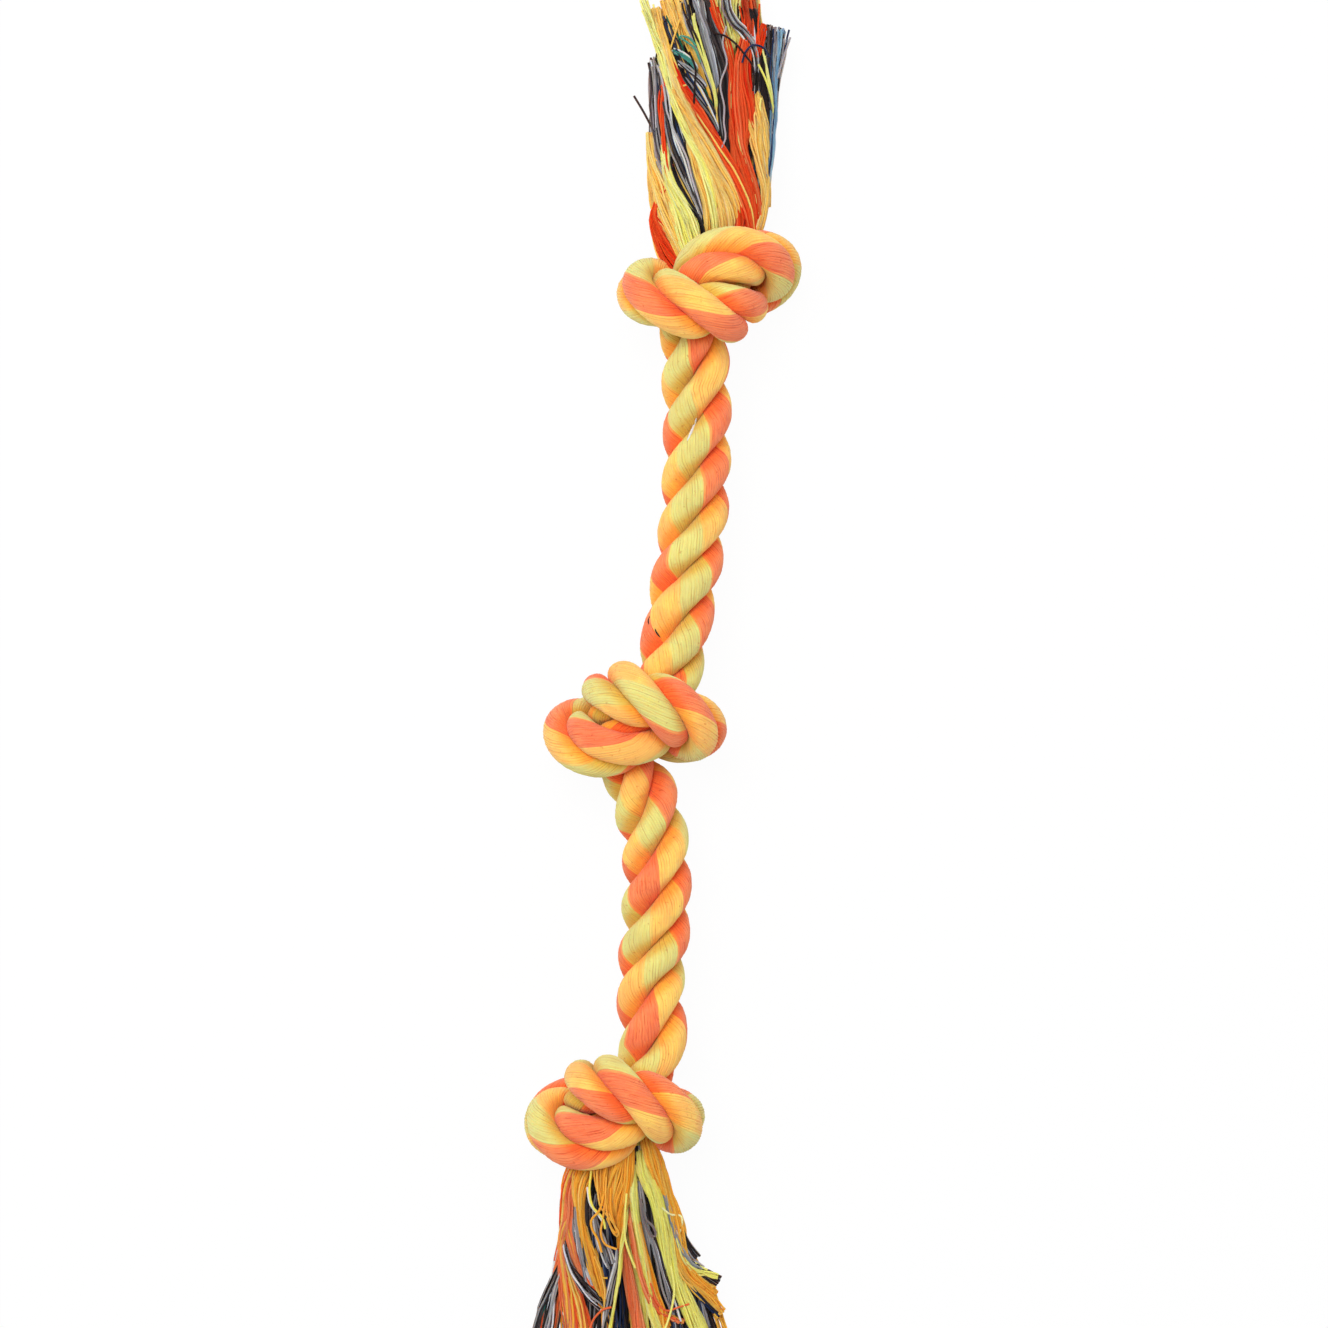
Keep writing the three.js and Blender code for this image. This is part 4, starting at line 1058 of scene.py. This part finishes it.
def strand_yarn(sizes, colours):
    """Soft cotton: three colours of yarn round a strand, each yarn a little different, with fine spun fibres, and
    painted shade between the yarns and in the creases between strands.
    """
    material, wiring, spot, around, along = yarn_material("strand_yarn")
    counted = wiring.sum("MULTIPLY", around, sizes.yarns)
    yarn = wiring.sum("FLOOR", counted)
    middle = wiring.sum("DIVIDE", wiring.sum("ADD", yarn, 0.5), sizes.yarns)
    yellow, orange, coral = colours.yellow[:], colours.orange[:], colours.coral[:]
    pale = blended(orange, yellow, 0.35)
    stops = [
        (0, orange),
        (0.32, pale),
        (0.345, yellow),
        (0.645, blended(coral, orange, 0.3)),
        (0.67, coral),
    ]
    colour = wiring.bands(middle, stops)
    one = wiring.node("ShaderNodeTexWhiteNoise", {"noise_dimensions": "1D"}, W=yarn).outputs["Value"]
    colour = wiring.shade(colour, wiring.map(one, 0, 1, 0.97, 1.02))
    patches = wiring.noise(spot, 90.0, 3.0, 0.6)
    colour = wiring.shade(colour, wiring.map(patches, 0.3, 0.7, 0.95, 1.05))
    # Where the dye took less, the orange and the coral lean to yellow.
    from_yellow = wiring.sum("ABSOLUTE", wiring.sum("SUBTRACT", middle, 0.495))
    free = wiring.map(from_yellow, 0.14, 0.16, 0.2, 1.0)
    lean = wiring.sum("MULTIPLY", free, wiring.map(patches, 0.44, 0.6, 0.0, 1.0))
    colour = wiring.tint(colour, (1, 1.16, 1.06), lean)
    within = wiring.sum("FRACT", counted)
    off = wiring.sum("ABSOLUTE", wiring.sum("SUBTRACT", within, 0.5))
    # Painted shade in the lines between yarns: most is faint, and a few lines are darker and deep for a short way.
    # The same lines are sunk in the bump.
    edge = wiring.map(off, 0.34, 0.5, 0.0, 1.0)
    between = wiring.sum("FLOOR", wiring.sum("ADD", counted, 0.5))
    open_for = wiring.long_noise(wiring.sum("MULTIPLY", between, 7.3), along, 1.0, 70.0, 1.0)
    gap_depth_and_shade = wiring.sum("MULTIPLY", edge, wiring.map(open_for, 0.48, 0.64, 0.12, 1.0))
    streaks = wiring.long_noise(around, along, 75.0, 90.0, 3.0)
    colour = wiring.tint(colour, (1, 0.86, 0.6), wiring.map(streaks, 0.48, 0.72, 0.0, 0.9))
    # Painted shade: the gaps between yarns made darker and warmer.
    colour = wiring.tint(colour, (0.72, 0.46, 0.34), gap_depth_and_shade)
    # Hairs that lie out of line with the yarns, darkest on the coral ones.
    slanted = wiring.sum("ADD", around, wiring.sum("MULTIPLY", along, 0.9))
    hairs = wiring.map(wiring.long_noise(slanted, along, 150.0, 150.0, 2.0), 0.54, 0.66, 0.0, 1.0)
    coral_here = wiring.map(middle, 0.66, 0.68, 0.35, 1.0)
    colour = wiring.tint(colour, (0.8, 0.42, 0.36), wiring.sum("MULTIPLY", coral_here, hairs))
    fibres = wiring.long_noise(around, along, 260.0, 500.0, 4.0)
    colour = wiring.shade(colour, wiring.map(fibres, 0.3, 0.7, 0.93, 1.06))
    specks = wiring.noise(spot, 700.0, 2.0, 0.5)
    colour = wiring.tint(colour, (0.75, 0.5, 0.4), wiring.map(specks, 0.66, 0.74, 0.0, 0.7))
    crease = wiring.node("ShaderNodeAttribute", {"attribute_name": "crease"}).outputs["Fac"]
    # Painted shade in the creases where strands press: darker and redder, standing in for light that passes between the
    # strands.
    colour = wiring.tint(colour, (1, 0.68, 0.28), crease)
    height = wiring.sum("SUBTRACT", fibres, wiring.sum("MULTIPLY", gap_depth_and_shade, 1.5))
    bump = wiring.node("ShaderNodeBump", None, Height=height, Strength=0.4, Distance=0.0003).outputs[0]
    wiring.cotton(colour, sheen=0.18, subsurface=0.3, scale=0.0015, Normal=bump)
    return material


def tassel_yarn():
    """A loose yarn of two plies, in the colour that its piece holds for it, with painted light and shade of the twist.
    """
    material, wiring, spot, around, along = yarn_material("tassel_yarn")
    held = wiring.node("ShaderNodeAttribute", {"attribute_name": "yarn_colour"}).outputs["Color"]
    # Painted light and shade of the twist: lighter on each ply and darker in the groove between the two plies.
    turns = wiring.sum("ADD", wiring.sum("MULTIPLY", around, 2.0), wiring.sum("MULTIPLY", along, 420.0))
    ply_light_and_shade = wiring.sum("ABSOLUTE", wiring.sum("SUBTRACT", wiring.sum("FRACT", turns), 0.5))
    colour = wiring.shade(held, wiring.map(ply_light_and_shade, 0.0, 0.5, 1.04, 0.92))
    fluff = wiring.noise(spot, 1800.0, 2.0, 0.6)
    colour = wiring.shade(colour, wiring.map(fluff, 0.3, 0.7, 0.94, 1.06))
    wiring.cotton(colour, sheen=0.8, subsurface=0.5, scale=0.003, Sheen_Tint=held)
    return material


# The stage, in metres and watts.

CAMERA_ABOVE = (0.00067, 0.01294)
LAMP_PLACE = (-0.25, 0.42, 1.35)
LAMP_AIM = Vector((0, 0, 0.02))
LAMP_SIZE = 0.9
LAMP_POWER = 15.5
FLOOR_HALF = 3

# How much of the floor is a plain white that needs no light. The rest takes the toy's shadow.
FLOOR_GLOW = 0.96


class ROPETOY_OT_stage(bpy.types.Operator):
    """Places the camera, the pale floor and the soft light"""

    bl_idname = "rope_toy.stage"
    bl_label = "Stage"

    def execute(self, context):
        scene = context.scene
        settings = scene.rope_toy_stage
        camera = bpy.data.objects.new("camera", bpy.data.cameras.new("camera"))
        camera.data.lens = settings.lens
        camera.data.sensor_width = 36
        camera.location = (*CAMERA_ABOVE, settings.camera_height)
        scene.collection.objects.link(camera)
        scene.camera = camera
        scene.view_settings.view_transform = "Standard"
        self.light(scene, settings)
        self.floor(scene)
        return {"FINISHED"}

    def light(self, scene, settings):
        world = scene.world or bpy.data.worlds.new("surroundings")
        scene.world = world
        wiring = Wiring(world)
        wiring.tree.nodes.clear()
        lit, seen = (
            wiring.node("ShaderNodeBackground", None, Color=(1, 1, 1, 1), Strength=strength).outputs[0]
            for strength in (settings.world_strength, 1)
        )
        mixed = wiring.node("ShaderNodeMixShader", None, _0=wiring.seen_plain(), _1=lit, _2=seen)
        wiring.node("ShaderNodeOutputWorld", None, Surface=mixed.outputs[0])
        lamp = bpy.data.objects.new("soft_lamp", bpy.data.lights.new("soft_lamp", "AREA"))
        lamp.data.shape = "DISK"
        lamp.data.size = LAMP_SIZE
        lamp.data.energy = LAMP_POWER * settings.lamp_strength
        lamp.location = LAMP_PLACE
        lamp.rotation_euler = (LAMP_AIM - lamp.location).to_track_quat("-Z", "Y").to_euler()
        scene.collection.objects.link(lamp)

    def floor(self, scene):
        ground = bmesh.new()
        bmesh.ops.create_grid(ground, x_segments=1, y_segments=1, size=FLOOR_HALF)
        mesh = bpy.data.meshes.new("floor")
        ground.to_mesh(mesh)
        ground.free()
        material = bpy.data.materials.new("white_floor")
        wiring = Wiring(material)
        nodes = wiring.tree.nodes
        matt = wiring.fill(nodes["Principled BSDF"], Base_Color=(0.9, 0.9, 0.9, 1), Roughness=0.9, Specular_IOR_Level=0)
        bright = wiring.node("ShaderNodeEmission", None, Strength=1).outputs[0]
        share = wiring.sum("MULTIPLY", wiring.seen_plain(), FLOOR_GLOW)
        mixed = wiring.node("ShaderNodeMixShader", None, _0=share, _1=matt.outputs[0], _2=bright)
        wiring.fill(nodes["Material Output"], Surface=mixed.outputs[0])
        mesh.materials.append(material)
        floor = bpy.data.objects.new("floor", mesh)
        scene.collection.objects.link(floor)


# The rope.

# The pieces of each strand from the bottom up: the bodies of each and the bend between them. The middle knot has none.
LAID_PIECES = (
    ("bottom_knot", ("bottom_knot", "lower_rope", "lower_far")),
    ("lower_rope", ("lower_rope", "middle_knot", "lower_near")),
    ("middle_knot", None),
    ("upper_rope", ("middle_knot", "upper_rope", "upper_near")),
    ("top_knot", ("upper_rope", "top_knot", "upper_far")),
)

# How far into the middle knot the free stretches' pieces reach past its bends, and how far past the tassels' roots
# the outer pieces do, in millimetres.
MOUTH_REACH = 20
ROOT_REACH = 4


class ROPETOY_OT_strands(bpy.types.Operator):
    """Lays the three strands through the knots and the free stretches between them"""

    bl_idname = "rope_toy.strands"
    bl_label = "Strands"

    def execute(self, context):
        sizes = context.scene.rope_toy_sizes
        rope = Rope(sizes)
        strands = Strands(rope, sizes)
        material = strand_yarn(sizes, context.scene.rope_toy_colours)
        places = {name: np.array(bend) for name, bend in BENDS.items()}
        cuts = (
            rope.length_at(places["bottom_tassel"]) + ROOT_REACH,
            rope.mid["lower"],
            rope.length_at(places["lower_near"] + (0, MOUTH_REACH, 0)),
            rope.length_at(places["upper_near"] - (0, MOUTH_REACH, 0)),
            rope.mid["upper"],
            rope.length_at(places["top_tassel"]) - ROOT_REACH,
        )
        marks = [int(np.argmin(np.abs(strands.length - cut))) for cut in cuts]
        step = sizes.ring_step
        for k, letter in enumerate(STRANDS):
            for (name, crossing), first, last in zip(LAID_PIECES, marks, marks[1:]):
                rings = strands.rings[k][first : last + 1]
                piece = skin(f"{name}_laid_strand_{letter}", rings[None], material, step, first * step)
                # The painted crease shade is held at the points, for the material to darken them.
                crease = piece.data.attributes.new("crease", "FLOAT", "POINT")
                crease.data.foreach_set("value", strands.crease_shades[k][first : last + 1].astype(np.float32).ravel())
                if crossing:
                    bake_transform(piece)
                else:
                    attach(piece, "middle_knot")
                nodes = [f"{name}_strand_{letter}"]
                if name.endswith("rope"):
                    nodes.append(f"{name}_core_{letter}")
                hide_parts(*nodes)
        return {"FINISHED"}


# Loose threads on the pieces that they lie on: the colour of each, how thick it is and its line, seen from above.
THREADS = {
    "top_knot": (("white", 1.1, ((12.2, 101), (11.6, 98.6), (10.6, 96), (9, 92.6))),),
    "upper_rope": (
        ("charcoal", 0.5, ((-4.4, 30), (-4.9, 28.6), (-4.7, 27))),
        ("charcoal", 0.6, ((-2.6, 25.6), (-2, 24.2), (-0.6, 22.4))),
    ),
}
THREAD_RINGS = 12
THREAD_SIDES = 6
THREAD_STEP = 0.0005

# How thin a thread's ends are: the least of the share that its radius is the root of.
THREAD_END = 0.08


class ROPETOY_OT_tassels(bpy.types.Operator):
    """Frays both ends of the rope into tassels of loose yarn"""

    bl_idname = "rope_toy.tassels"
    bl_label = "Tassels"

    def execute(self, context):
        sizes, colours = context.scene.rope_toy_sizes, context.scene.rope_toy_colours
        waste = ("charcoal", "navy", "grey", "white", "teal", "blue", "rust")
        palette = {name: getattr(colours, name)[:] for name in waste}
        palette |= {name: getattr(colours, f"loose_{name}")[:] for name in ("yellow", "orange", "coral")}
        material = tassel_yarn()
        for name, locks in (("top", TOP_LOCKS), ("bottom", BOTTOM_LOCKS)):
            tassel = Tassel(name, locks, sizes, palette)
            for kind in tassel.lines:
                piece = skin(f"{name}_tassel_frayed_{kind}", tassel.tubes(kind), material, YARN_STEP)
                colour_tubes(piece, tassel.colours[kind], YARN_RINGS * YARN_SIDES)
                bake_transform(piece)
                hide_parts(*(f"{name}_tassel_{letter}_{kind}_yarns" for letter in STRANDS))
        return {"FINISHED"}


class ROPETOY_OT_threads(bpy.types.Operator):
    """Leaves a few loose threads lying on the strands between the upper knots"""

    bl_idname = "rope_toy.threads"
    bl_label = "Loose threads"

    def execute(self, context):
        colours = context.scene.rope_toy_colours
        material = tassel_yarn()
        for name, threads in THREADS.items():
            under = [bpy.data.objects[f"{name}_laid_strand_{letter}"].data for letter in STRANDS]
            trees = [
                BVHTree.FromPolygons([v.co for v in mesh.vertices], [p.vertices for p in mesh.polygons])
                for mesh in under
            ]
            tubes = [self.tube(trees, thick, line) for _, thick, line in threads]
            piece = skin(f"{name}_loose_threads", tubes, material, THREAD_STEP)
            colour_tubes(piece, [getattr(colours, colour)[:] for colour, _, _ in threads], THREAD_RINGS * THREAD_SIDES)
            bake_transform(piece)
        return {"FINISHED"}

    def tube(self, trees, thick, line):
        """The rings of a thread that lies on top of the surfaces of some trees and thins out at both ends."""
        middle = []
        for aside, out in zip(*flat_line(line, THREAD_RINGS)):
            above = Vector((aside * MM, out * MM, 1))
            hits = [tree.ray_cast(above, Vector((0, 0, -1)))[0] for tree in trees]
            middle.append((aside * MM, out * MM, max(hit.z for hit in hits if hit)))
        middle = np.array(middle)
        share = np.linspace(0, 1, THREAD_RINGS)
        radius = np.sqrt(np.maximum(4 * share * (1 - share), THREAD_END)) * thick / 2 * MM
        along = normalized(np.gradient(middle, axis=0))
        across = normalized(np.cross(along, (0, 0, 1)))
        return round_tubes(middle, across, np.cross(across, along), radius[:, None, None], THREAD_SIDES)


class ROPETOY_PT_panel(bpy.types.Panel):
    """Sizes, colours and steps of the rope toy"""

    bl_idname = "ROPETOY_PT_panel"
    bl_label = "Rope toy"
    bl_space_type = "VIEW_3D"
    bl_region_type = "UI"
    bl_category = "Rope toy"

    def draw(self, context):
        for group in (context.scene.rope_toy_sizes, context.scene.rope_toy_colours, context.scene.rope_toy_stage):
            box = self.layout.box()
            for name in group.bl_rna.properties.keys():
                if name not in {"rna_type", "name"}:
                    box.prop(group, name)
        for operator in OPERATORS:
            self.layout.operator(operator.bl_idname)


OPERATORS = (ROPETOY_OT_stage, ROPETOY_OT_strands, ROPETOY_OT_tassels, ROPETOY_OT_threads)
GROUPS = {"rope_toy_sizes": RopeSizes, "rope_toy_colours": YarnColours, "rope_toy_stage": StageSettings}


def register():
    for made in (*GROUPS.values(), *OPERATORS, ROPETOY_PT_panel):
        bpy.utils.register_class(made)
    for name, group in GROUPS.items():
        setattr(bpy.types.Scene, name, PointerProperty(type=group))


def unregister():
    for name in GROUPS:
        delattr(bpy.types.Scene, name)
    for made in (ROPETOY_PT_panel, *reversed(OPERATORS), *reversed(list(GROUPS.values()))):
        bpy.utils.unregister_class(made)


def main():
    register()
    bpy.ops.rope_toy.stage()
    bpy.ops.rope_toy.strands()
    bpy.ops.rope_toy.tassels()
    bpy.ops.rope_toy.threads()


if __name__ == "__main__":
    main()
